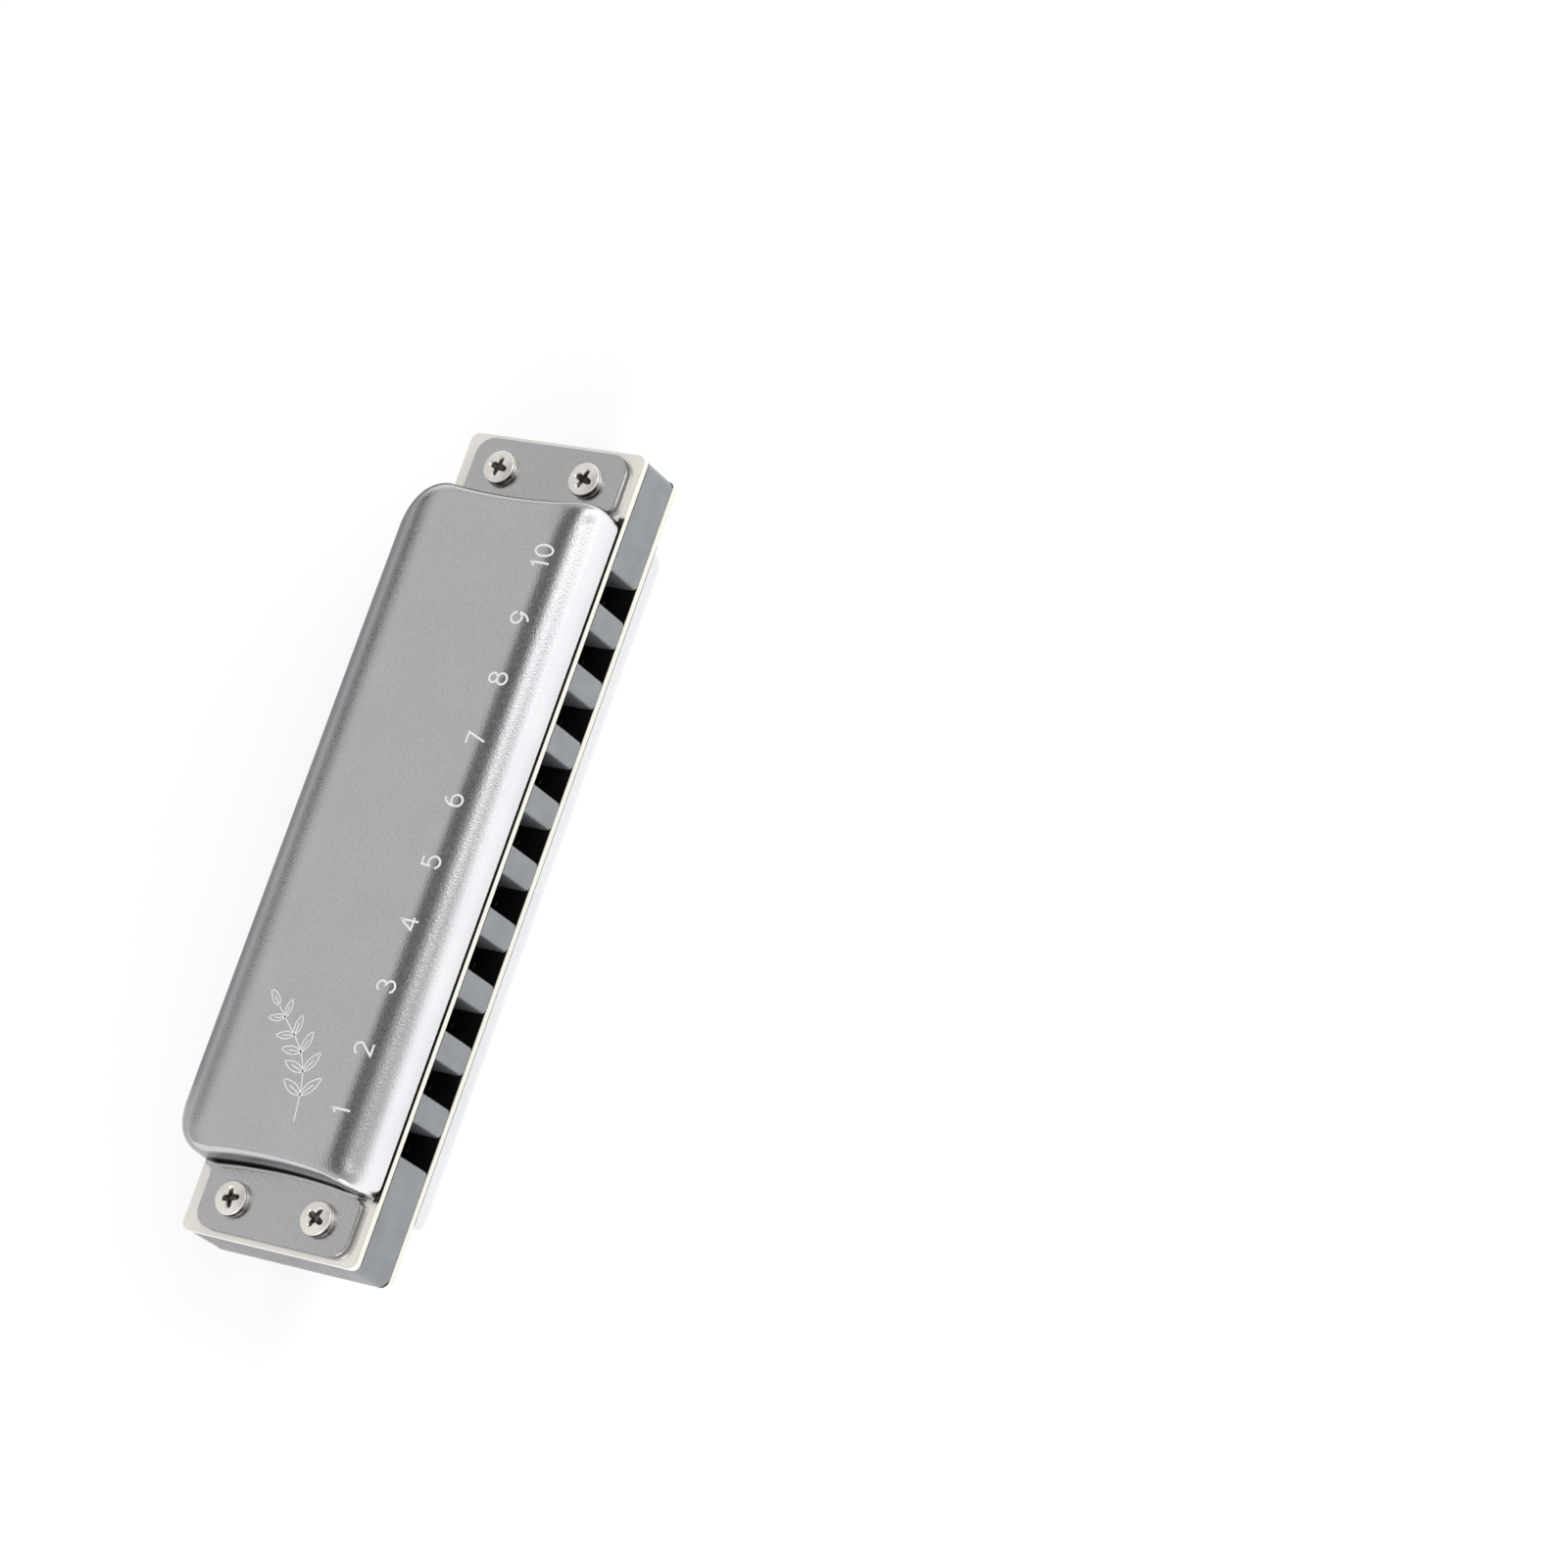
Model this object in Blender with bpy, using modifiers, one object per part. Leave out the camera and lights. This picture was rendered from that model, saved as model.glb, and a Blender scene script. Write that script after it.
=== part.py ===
"""Ten-hole diatonic harmonica, in metres with +Z up.

The instrument lies on its bottom cover. Hole 1 is at -X and the mouth side faces -Y.
Heights are counted from the faces of the comb: up from its upper face on the upper side,
and down from its lower face on the lower side.
"""

import math

import bmesh
import bpy
from mathutils import Matrix

MM = 0.001

# Holes and comb
HOLE_COUNT = 10
HOLE_PITCH = 7.5 * MM
HOLE_WIDTH = 4.0 * MM
COMB_THICKNESS = 5.9 * MM
COMB_END = 12.15 * MM
COMB_CORNER = 1.3 * MM
BACK_WALL = 3.6 * MM

# Reeds, each one strip of brass with a thick pad and a thin tongue
LONGEST_REED = 14.8 * MM
SHORTEST_REED = 9.0 * MM
TONGUE_WIDTH = 2.2 * MM
TONGUE_THICKNESS = 0.25 * MM
TONGUE_ROOT = 0.75 * MM
PAD_LENGTH = 3.0 * MM
PAD_THICKNESS = 0.5 * MM
REED_SWING = math.radians(3.5)

# Reed plates
PLATE_THICKNESS = 0.9 * MM
PLATE_CORNER = 1.0 * MM
PLATE_EDGE = 0.45 * MM
TIP_LAND = 2.8 * MM
PAD_LAND = 2.7 * MM

# Rivets
RIVET_DIAMETER = 0.9 * MM
RIVET_HEAD_DIAMETER = 1.6 * MM
RIVET_HEAD_HEIGHT = 0.4 * MM
RIVET_TAIL_DIAMETER = 1.3 * MM
RIVET_TAIL_HEIGHT = 0.15 * MM
RIVET_HEAD_TOP_DIAMETER = 1.1 * MM

# Covers, stamped from sheet
SHEET = 0.5 * MM
CROWN_HEIGHT = 5.35 * MM
FRONT_INSET = 0.3 * MM
REAR_OVERHANG = 3.8 * MM
FRONT_SHOULDER = 5.2 * MM
REAR_SHOULDER = 7.2 * MM
END_SHOULDER = 1.0 * MM
FRONT_CORNER = 2.6 * MM
REAR_CORNER = 6.0 * MM
CROWN_CORNER = 2.0 * MM
END_BOW = 0.3 * MM
FRONT_WALL = 0.85 * MM
REAR_LIP_HEIGHT = 1.35 * MM
REAR_CURL_RADIUS = 1.0 * MM
REAR_CURL_BEND = math.radians(105)

# Flanges at the covers' ends
FLANGE_LENGTH = 7.5 * MM
FLANGE_END_INSET = 0.95 * MM
FLANGE_FRONT_INSET = 1.45 * MM
FLANGE_REAR_INSET = 1.9 * MM
FLANGE_CORNER = 2.2 * MM
FLANGE_FILLET = 0.6 * MM
FLANGE_FRONT_ROUND = 0.9 * MM
FLANGE_REAR_HOLLOW = 1.2 * MM
FLANGE_SEAM = 0.15 * MM

# Screws through the flanges, with their nuts
COVER_SCREW_DIAMETER = 2.0 * MM
COVER_SCREW_HEAD = 4.0 * MM
COVER_SCREW_HEAD_HEIGHT = 1.3 * MM
COVER_SCREW_RIM = 0.55 * MM
COVER_SCREW_SPREAD = 12.0 * MM
COVER_SCREW_TIP = 0.3 * MM
RECESS_WIDTH = 0.6 * MM
RECESS_REACH = 2.2 * MM
RECESS_DEPTH = 0.8 * MM
RECESS_TAPER = 0.75
NUT_WIDTH = 4.0 * MM
NUT_HEIGHT = 1.5 * MM

# Screws that clamp the reed plates to the comb
PLATE_SCREW_DIAMETER = 1.4 * MM
PLATE_SCREW_HEAD = 2.8 * MM
PLATE_SCREW_HEAD_HEIGHT = 0.8 * MM
PLATE_SCREW_BEVEL = 0.3 * MM
PLATE_SCREW_SLOT = 0.4 * MM
PLATE_SCREW_SLOT_DEPTH = 0.4 * MM
PLATE_SCREW_FRONT = 3.3 * MM
PLATE_SCREW_TIP = 0.15 * MM

# Clearances between pieces
PLATE_GAP = 0.15 * MM
COVER_GAP = 0.3 * MM
REED_ROCKING_GAP = 0.06 * MM
REED_OFFSET = 0.05 * MM
REED_SIDE_GAP = 0.1 * MM
REED_TIP_GAP = 0.15 * MM
CHAMBER_GAP = 0.3 * MM
RIVET_GAP = 0.1 * MM
SCREW_GAP = 0.15 * MM
HEAD_GAP = 0.1 * MM
CUT_OVERSHOOT = 1.0 * MM

# Numbers of facets
CORNER_STEPS = 4
RIVET_STEPS = 10
COVER_SCREW_STEPS = 16
PLATE_SCREW_STEPS = 12
EDGE_STEPS = 2
DOME_STEPS = 4
SHOULDER_STEPS = 5
TAIL_STEPS = 3
FRONT_CORNER_STEPS = 4
REAR_CORNER_STEPS = 6
FLANGE_CORNER_STEPS = 3
FLANGE_END_STEPS = 3
FLANGE_FOOT_STEPS = 2

# How square the shoulders of the covers and screw heads are: 2 is an ellipse, and more is squarer
FRONT_SQUARENESS = 2.0
REAR_SQUARENESS = 2.0
END_SQUARENESS = 3.2
HEAD_SQUARENESS = 2.5

# Outline of the comb and the reed plates
plate_length = HOLE_COUNT * HOLE_PITCH + 2 * COMB_END
plate_depth = TIP_LAND + LONGEST_REED + PAD_LENGTH + CHAMBER_GAP + BACK_WALL
total_depth = plate_depth + REAR_OVERHANG
plate_front = -total_depth / 2
plate_rear = plate_front + plate_depth
plate_middle = (plate_front + plate_rear) / 2
plate_end = plate_length / 2

# Heights over a face of the comb
plate_inner_height = PLATE_GAP
plate_outer_height = plate_inner_height + PLATE_THICKNESS
cover_seat_height = plate_outer_height + COVER_GAP
flange_top_height = cover_seat_height + SHEET
crown_top_height = plate_outer_height + CROWN_HEIGHT
comb_middle = crown_top_height + COMB_THICKNESS / 2

# Body of a cover, inside its two flanges
body_end = plate_end - FLANGE_END_INSET - FLANGE_LENGTH
body_front = plate_front + FRONT_INSET
body_rear = plate_rear + REAR_OVERHANG
flange_end = plate_end - FLANGE_END_INSET
flange_front = plate_front + FLANGE_FRONT_INSET
flange_rear = plate_rear - FLANGE_REAR_INSET
flange_foot_front = flange_front + FLANGE_FRONT_ROUND
flange_foot_rear = flange_rear + FLANGE_REAR_HOLLOW

# A pad clears the walls of its chamber, and its plate and rivet head as it rocks
pad_width = HOLE_WIDTH - 2 * CHAMBER_GAP
reed_seat_gap = PAD_LENGTH / 2 * math.sin(REED_SWING) + REED_ROCKING_GAP

# Places of the fasteners
cover_screw_x = flange_end - (FLANGE_LENGTH - FLANGE_FILLET) / 2
plate_screw_ys = (plate_front + PLATE_SCREW_FRONT, plate_rear - BACK_WALL / 2)
plate_screw_walls = (HOLE_COUNT // 5, HOLE_COUNT // 2, HOLE_COUNT - HOLE_COUNT // 5)

UPPER = 1
LOWER = -1


def clear_scene():
    for item in list(bpy.data.objects):
        bpy.data.objects.remove(item, do_unlink=True)


def make_collection(name):
    collection = bpy.data.collections.new(name)
    bpy.context.scene.collection.children.link(collection)
    return collection


def level(side, height):
    """World height of a place that is this far out from the comb's face on one side."""
    return comb_middle + side * (COMB_THICKNESS / 2 + height)


def hole_x(number):
    """Middle of a hole, where the holes are numbered from 1 at -X."""
    return (number - (HOLE_COUNT + 1) / 2) * HOLE_PITCH


def wall_x(number):
    """Middle of the wall between a hole and the next one."""
    return hole_x(number) + HOLE_PITCH / 2


def reed_length(number):
    """Length of a tongue: the reeds get shorter by even steps from hole 1."""
    share = (number - 1) / (HOLE_COUNT - 1)
    return LONGEST_REED + (SHORTEST_REED - LONGEST_REED) * share


def blow_root_y(number):
    return plate_front + TIP_LAND + reed_length(number)


def blow_axis_y(number):
    return blow_root_y(number) + PAD_LENGTH / 2


def draw_axis_y():
    return plate_front + PAD_LAND + PAD_LENGTH / 2


def chamber_rear(number):
    return blow_root_y(number) + PAD_LENGTH + CHAMBER_GAP


def blend(first, second, share):
    return first + (second - first) * share


def finish_mesh(name, bm, collection, location=(0.0, 0.0, 0.0)):
    """Turn a bmesh into a named object."""
    mesh = bpy.data.meshes.new(name)
    bm.to_mesh(mesh)
    bm.free()
    item = bpy.data.objects.new(name, mesh)
    item.location = location
    collection.objects.link(item)
    return item


def add_box(bm, size, centre):
    placing = Matrix.Translation(centre) @ Matrix.Diagonal((*size, 1.0))
    return bmesh.ops.create_cube(bm, size=1.0, matrix=placing)


def add_cylinder(bm, radius, depth, centre, steps):
    placing = Matrix.Translation(centre)
    bmesh.ops.create_cone(
        bm,
        cap_ends=True,
        segments=steps,
        radius1=radius,
        radius2=radius,
        depth=depth,
        matrix=placing,
    )


def round_block(size, corner, edge_faces=()):
    """A block with rounded upright corners, centred on its origin.

    edge_faces holds the signs along Z of the flat faces whose outline is softened.
    """
    bm = bmesh.new()
    add_box(bm, size, (0.0, 0.0, 0.0))
    upright = [e for e in bm.edges if abs(e.verts[0].co.z - e.verts[1].co.z) > size[2] / 2]
    bmesh.ops.bevel(
        bm,
        geom=upright,
        offset=corner,
        offset_type="OFFSET",
        segments=CORNER_STEPS,
        profile=0.5,
        affect="EDGES",
    )
    for sign in edge_faces:
        face_height = sign * size[2] / 2
        outline = [e for e in bm.edges if all(abs(v.co.z - face_height) < 1e-7 for v in e.verts)]
        bmesh.ops.bevel(
            bm,
            geom=outline,
            offset=PLATE_EDGE,
            offset_type="OFFSET",
            segments=EDGE_STEPS,
            profile=0.5,
            affect="EDGES",
        )
    return bm


def as_cutter(item):
    item.hide_render = True
    item.display_type = "WIRE"
    return item


def boolean(item, other, operation="DIFFERENCE"):
    modifier = item.modifiers.new(operation.lower() + "_" + other.name, "BOOLEAN")
    modifier.operation = operation
    modifier.object = other


def drill(item, cutters, places, diameter, steps):
    """Cut round holes straight through a piece at these places in plan."""
    depth = COMB_THICKNESS + 2 * CUT_OVERSHOOT
    bm = bmesh.new()
    for x, y in places:
        add_cylinder(bm, diameter / 2, depth, (x, y, 0.0), steps)
    holes = finish_mesh(item.name + "_holes_" + str(len(item.modifiers)), bm, cutters)
    holes.location.z = item.location.z
    boolean(item, as_cutter(holes))


def cut_boxes(item, cutters, name, boxes):
    """Cut rectangles straight through a piece: each box is (x, half width, y start, y end)."""
    depth = COMB_THICKNESS + 2 * CUT_OVERSHOOT
    bm = bmesh.new()
    for x, half_width, start, end in boxes:
        add_box(bm, (2 * half_width, end - start, depth), (x, (start + end) / 2, 0.0))
    openings = finish_mesh(item.name + "_" + name, bm, cutters)
    openings.location.z = item.location.z
    boolean(item, as_cutter(openings))


def turned(name, collection, profile, steps, location):
    """A turned piece: its profile runs from top to bottom in (radius, height) pairs."""
    bm = bmesh.new()
    points = [bm.verts.new((radius, 0.0, height)) for radius, height in profile]
    for first, second in zip(points, points[1:]):
        bm.edges.new((first, second))
    item = finish_mesh(name, bm, collection, location)
    screw = item.modifiers.new("turn", "SCREW")
    screw.axis = "Z"
    screw.steps = steps
    screw.render_steps = steps
    screw.use_merge_vertices = True
    screw.merge_threshold = 1e-6
    screw.use_smooth_shade = True
    return item


def paint(item, colour, metallic, roughness):
    """Give a piece its own material."""
    material = bpy.data.materials.new(item.name + "_finish")
    material.use_nodes = True
    shader = material.node_tree.nodes["Principled BSDF"]
    shader.inputs["Base Color"].default_value = (*colour, 1.0)
    shader.inputs["Metallic"].default_value = metallic
    shader.inputs["Roughness"].default_value = roughness
    item.data.materials.append(material)


def smooth(item, angle=math.radians(35)):
    item.data.shade_smooth()
    item.data.set_sharp_from_angle(angle=angle)


def cover_screw_places():
    """Plan places of the cover screws with the end and the side that each is at."""
    half_spread = COVER_SCREW_SPREAD / 2
    for end_name, x in (("low", -cover_screw_x), ("high", cover_screw_x)):
        for side_name, y in (("front", -half_spread), ("rear", half_spread)):
            yield side_name + "_" + end_name, x, plate_middle + y


def plate_screw_places():
    """Plan places of the plate screws, in line with walls between the holes."""
    for y in plate_screw_ys:
        for wall in plate_screw_walls:
            yield wall_x(wall), y


def screw_places():
    return [(x, y) for _, x, y in cover_screw_places()]


def make_comb(parts, cutters):
    bm = round_block((plate_length, plate_depth, COMB_THICKNESS), COMB_CORNER)
    comb = finish_mesh("comb", bm, parts, (0.0, plate_middle, comb_middle))
    chambers = []
    for number in range(1, HOLE_COUNT + 1):
        start = plate_front - CUT_OVERSHOOT
        chambers.append((hole_x(number), HOLE_WIDTH / 2, start, chamber_rear(number)))
    cut_boxes(comb, cutters, "chambers", chambers)
    drill(comb, cutters, screw_places(), COVER_SCREW_DIAMETER + 2 * SCREW_GAP, PLATE_SCREW_STEPS)
    small = PLATE_SCREW_DIAMETER + 2 * SCREW_GAP
    drill(comb, cutters, plate_screw_places(), small, PLATE_SCREW_STEPS)
    paint(comb, (0.21, 0.23, 0.25), 0.6, 0.42)
    return comb


def make_reed_plate(name, side, slots, rivets, parts, cutters):
    size = (plate_length, plate_depth, PLATE_THICKNESS)
    bm = round_block(size, PLATE_CORNER, edge_faces=(side,))
    height = level(side, plate_inner_height + PLATE_THICKNESS / 2)
    plate = finish_mesh(name, bm, parts, (0.0, plate_middle, height))
    cut_boxes(plate, cutters, "slots", slots)
    drill(plate, cutters, rivets, RIVET_DIAMETER + 2 * RIVET_GAP, RIVET_STEPS)
    drill(plate, cutters, screw_places(), COVER_SCREW_DIAMETER + 2 * SCREW_GAP, PLATE_SCREW_STEPS)
    small = PLATE_SCREW_DIAMETER + 2 * SCREW_GAP
    drill(plate, cutters, plate_screw_places(), small, PLATE_SCREW_STEPS)
    paint(plate, (0.72, 0.67, 0.62), 1.0, 0.22)
    return plate


def make_reed_plates(parts, cutters):
    """Both plates, each with a slot and a rivet hole for every reed."""
    half_slot = TONGUE_WIDTH / 2 + REED_SIDE_GAP
    blow_slots, blow_rivets, draw_slots, draw_rivets = [], [], [], []
    for number in range(1, HOLE_COUNT + 1):
        x = hole_x(number)
        blow_tip = plate_front + TIP_LAND - REED_TIP_GAP
        blow_slots.append((x, half_slot, blow_tip, blow_root_y(number) - REED_TIP_GAP))
        blow_rivets.append((x, blow_axis_y(number)))
        draw_root = draw_axis_y() + PAD_LENGTH / 2
        draw_tip = draw_root + reed_length(number) + REED_TIP_GAP
        draw_slots.append((x, half_slot, draw_root + REED_TIP_GAP, draw_tip))
        draw_rivets.append((x, draw_axis_y()))
    make_reed_plate("upper_reed_plate", UPPER, blow_slots, blow_rivets, parts, cutters)
    make_reed_plate("lower_reed_plate", LOWER, draw_slots, draw_rivets, parts, cutters)


def make_reed(name, length, towards_tip, location, parts, cutters):
    """A reed with its origin on its swing axis, in the middle of the pad.

    towards_tip is the sign along Y in which the tongue points. The flat side that
    faces the plate is on top, and the tongue is set back from it by the reed's offset.
    """
    bm = bmesh.new()
    add_box(bm, (pad_width, PAD_LENGTH, PAD_THICKNESS), (0.0, 0.0, 0.0))
    reed = finish_mesh(name, bm, parts, location)
    bm = bmesh.new()
    root = PAD_LENGTH / 2 - TONGUE_ROOT
    tip = PAD_LENGTH / 2 + length
    middle = towards_tip * (root + tip) / 2
    height = PAD_THICKNESS / 2 - REED_OFFSET - TONGUE_THICKNESS / 2
    add_box(bm, (TONGUE_WIDTH, tip - root, TONGUE_THICKNESS), (0.0, middle, height))
    tongue = as_cutter(finish_mesh(name + "_tongue", bm, cutters, location))
    boolean(reed, tongue, "UNION")
    bm = bmesh.new()
    hole_depth = PAD_THICKNESS + 2 * CUT_OVERSHOOT
    add_cylinder(bm, RIVET_DIAMETER / 2 + RIVET_GAP, hole_depth, (0.0, 0.0, 0.0), RIVET_STEPS)
    hole = as_cutter(finish_mesh(name + "_hole", bm, cutters, location))
    boolean(reed, hole)
    paint(reed, (0.70, 0.52, 0.22), 1.0, 0.28)


def make_rivet(name, x, y, plate_top, parts):
    """A rivet through a plate and the reed pad under it, with its head on the pad."""
    shank = RIVET_DIAMETER / 2
    tail = RIVET_TAIL_DIAMETER / 2
    tail_top = HEAD_GAP + RIVET_TAIL_HEIGHT
    pad_bottom = -PLATE_THICKNESS - reed_seat_gap - PAD_THICKNESS
    head_top = pad_bottom - reed_seat_gap
    head_bottom = head_top - RIVET_HEAD_HEIGHT
    profile = (
        (0.0, tail_top),
        (tail, tail_top),
        (tail, HEAD_GAP),
        (shank, HEAD_GAP),
        (shank, head_top),
        (RIVET_HEAD_DIAMETER / 2, head_top),
        (RIVET_HEAD_TOP_DIAMETER / 2, head_bottom),
        (0.0, head_bottom),
    )
    rivet = turned(name, parts, profile, RIVET_STEPS, (x, y, plate_top))
    paint(rivet, (0.76, 0.60, 0.30), 1.0, 0.25)


def make_reeds(parts, cutters):
    """Blow reeds under the upper plate and draw reeds under the lower plate."""
    axis_drop = reed_seat_gap + PAD_THICKNESS / 2
    upper_top = level(UPPER, plate_outer_height)
    lower_top = level(LOWER, plate_inner_height)
    for number in range(1, HOLE_COUNT + 1):
        x = hole_x(number)
        length = reed_length(number)
        y = blow_axis_y(number)
        place = (x, y, upper_top - PLATE_THICKNESS - axis_drop)
        make_reed(f"blow_reed_{number}", length, -1, place, parts, cutters)
        make_rivet(f"blow_rivet_{number}", x, y, upper_top, parts)
        y = draw_axis_y()
        place = (x, y, lower_top - PLATE_THICKNESS - axis_drop)
        make_reed(f"draw_reed_{number}", length, 1, place, parts, cutters)
        make_rivet(f"draw_rivet_{number}", x, y, lower_top, parts)


def arc(centre, radius, start, end, steps):
    """Points on an arc in plan, with both ends."""
    points = []
    for step in range(steps + 1):
        angle = blend(start, end, step / steps)
        x = centre[0] + radius * math.cos(angle)
        y = centre[1] + radius * math.sin(angle)
        points.append((x, y))
    return points


def plan_angle(y):
    """Direction in which the body's end faces at this place along Y."""
    front_centre = body_front + FRONT_CORNER
    rear_centre = body_rear - REAR_CORNER
    if y < front_centre:
        return math.asin(max((y - front_centre) / FRONT_CORNER, -1.0))
    if y > rear_centre:
        return math.asin(min((y - rear_centre) / REAR_CORNER, 1.0))
    return 0.0


def end_column(y):
    """Foot and crown places in plan for a place on the body's end or its corners."""
    angle = plan_angle(y)
    front_centre = body_front + FRONT_CORNER
    rear_centre = body_rear - REAR_CORNER
    crown_front = body_front + FRONT_SHOULDER + CROWN_CORNER
    crown_rear = body_rear - REAR_SHOULDER - CROWN_CORNER
    share = (y - front_centre) / (rear_centre - front_centre)
    share = min(max(share, 0.0), 1.0)
    bow = END_BOW * 4 * share * (1 - share)
    corner = blend(FRONT_CORNER, REAR_CORNER, float(share > 0.5))
    foot = (body_end - corner * (1 - math.cos(angle)) - bow, y)
    crown_x = body_end - END_SHOULDER - CROWN_CORNER * (1 - math.cos(angle)) - bow
    crown_y = blend(crown_front, crown_rear, share) + CROWN_CORNER * math.sin(angle)
    return foot, (crown_x, crown_y), angle


def shoulder(foot, crown, foot_height, squareness):
    """Points down a shoulder, from the crown's edge to the foot of the curve."""
    points = []
    for step in range(SHOULDER_STEPS + 1):
        turn = math.pi / 2 * step / SHOULDER_STEPS
        out = math.sin(turn) ** (2 / squareness)
        rise = max(math.cos(turn), 0.0) ** (2 / squareness)
        x = blend(crown[0], foot[0], out)
        y = blend(crown[1], foot[1], out)
        points.append((x, y, blend(foot_height, crown_top_height, rise)))
    return points


def skirt(foot, foot_height, angle, length, bend):
    """Points below a shoulder's foot, straight down or curled inwards."""
    points = []
    for step in range(1, TAIL_STEPS + 1):
        run = length * step / TAIL_STEPS
        inwards, down = 0.0, run
        if bend > 1e-6:
            radius = length / bend
            inwards = radius * (1 - math.cos(run / radius))
            down = radius * math.sin(run / radius)
        x = foot[0] - inwards * math.cos(angle)
        y = foot[1] - inwards * math.sin(angle)
        points.append((x, y, foot_height - down))
    return points


def flange_fillet(foot):
    """Points of the hollow curve from the body's end wall out to the flange."""
    points = []
    for step in range(1, TAIL_STEPS + 1):
        turn = math.pi / 2 * step / TAIL_STEPS
        out = FLANGE_FILLET * (1 - math.cos(turn))
        down = FLANGE_FILLET * math.sin(turn)
        points.append((foot[0] + out, foot[1], flange_top_height + FLANGE_FILLET - down))
    return points


def flange_outline():
    """The flange's free outline in plan, from the body's front corner to its rear corner.

    It starts with a small round corner beside the body and ends in a hollow curve.
    """
    front_foot, _, _ = end_column(flange_foot_front)
    rear_foot, _, _ = end_column(flange_foot_rear)
    round_x = front_foot[0] + FLANGE_FILLET + FLANGE_SEAM + FLANGE_FRONT_ROUND
    hollow_x = rear_foot[0] + FLANGE_FILLET + FLANGE_SEAM + FLANGE_REAR_HOLLOW
    corner_x = flange_end - FLANGE_CORNER
    front_y = flange_front + FLANGE_CORNER
    rear_y = flange_rear - FLANGE_CORNER
    quarter = math.pi / 2
    points = arc((round_x, flange_foot_front), FLANGE_FRONT_ROUND, -math.pi, -quarter, FLANGE_FOOT_STEPS)
    points += arc((corner_x, front_y), FLANGE_CORNER, -quarter, 0.0, FLANGE_CORNER_STEPS)
    for step in range(1, FLANGE_END_STEPS):
        points.append((flange_end, blend(front_y, rear_y, step / FLANGE_END_STEPS)))
    points += arc((corner_x, rear_y), FLANGE_CORNER, 0.0, quarter, FLANGE_CORNER_STEPS)
    points += arc((hollow_x, flange_foot_rear), FLANGE_REAR_HOLLOW, -quarter, -math.pi, FLANGE_FOOT_STEPS)
    return points


def front_column(foot, crown, angle):
    end_share = math.cos(angle) ** 2
    front_foot = cover_seat_height + FRONT_WALL
    foot_height = blend(front_foot, flange_top_height + FLANGE_FILLET, end_share)
    squareness = blend(FRONT_SQUARENESS, END_SQUARENESS, end_share)
    points = shoulder(foot, crown, foot_height, squareness)
    return points + skirt(foot, foot_height, angle, foot_height - cover_seat_height, 0.0)


def rear_column(foot, crown, angle):
    end_share = math.cos(angle) ** 2
    end_foot = flange_top_height + FLANGE_FILLET
    foot_height = blend(plate_outer_height + REAR_LIP_HEIGHT, end_foot, end_share)
    squareness = blend(REAR_SQUARENESS, END_SQUARENESS, end_share)
    points = shoulder(foot, crown, foot_height, squareness)
    curl_length = REAR_CURL_RADIUS * REAR_CURL_BEND
    length = blend(curl_length, end_foot - cover_seat_height, end_share)
    bend = REAR_CURL_BEND * (1 - end_share)
    return points + skirt(foot, foot_height, angle, length, bend)


def flange_column(foot, crown, outline_point):
    foot_height = flange_top_height + FLANGE_FILLET
    points = shoulder(foot, crown, foot_height, END_SQUARENESS)
    points += flange_fillet(foot)
    points.append((*outline_point, flange_top_height))
    return points


def cover_columns():
    """Columns of points on the +X half of a cover's outer skin, from front to rear."""
    columns = []
    corner_x = body_end - FRONT_CORNER
    crown_x = body_end - END_SHOULDER - CROWN_CORNER
    crown_y = body_front + FRONT_SHOULDER
    for share in (0.0, 0.5):
        foot = (corner_x * share, body_front)
        columns.append(front_column(foot, (crown_x * share, crown_y), -math.pi / 2))
    flange_angle = plan_angle(flange_foot_front)
    for step in range(FRONT_CORNER_STEPS):
        angle = blend(-math.pi / 2, flange_angle, step / FRONT_CORNER_STEPS)
        y = body_front + FRONT_CORNER * (1 + math.sin(angle))
        foot, crown, angle = end_column(y)
        columns.append(front_column(foot, crown, angle))
    outline = flange_outline()
    for step, outline_point in enumerate(outline):
        y = blend(flange_foot_front, flange_foot_rear, step / (len(outline) - 1))
        foot, crown, _ = end_column(y)
        columns.append(flange_column(foot, crown, outline_point))
    corner_start = plan_angle(flange_foot_rear)
    for step in range(1, REAR_CORNER_STEPS + 1):
        angle = blend(corner_start, math.pi / 2, step / REAR_CORNER_STEPS)
        y = body_rear - REAR_CORNER * (1 - math.sin(angle))
        foot, crown, angle = end_column(y)
        columns.append(rear_column(foot, crown, angle))
    corner_x = body_end - REAR_CORNER
    crown_y = body_rear - REAR_SHOULDER
    for share in (0.5, 0.0):
        foot = (corner_x * share, body_rear)
        columns.append(rear_column(foot, (crown_x * share, crown_y), math.pi / 2))
    return columns


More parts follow.
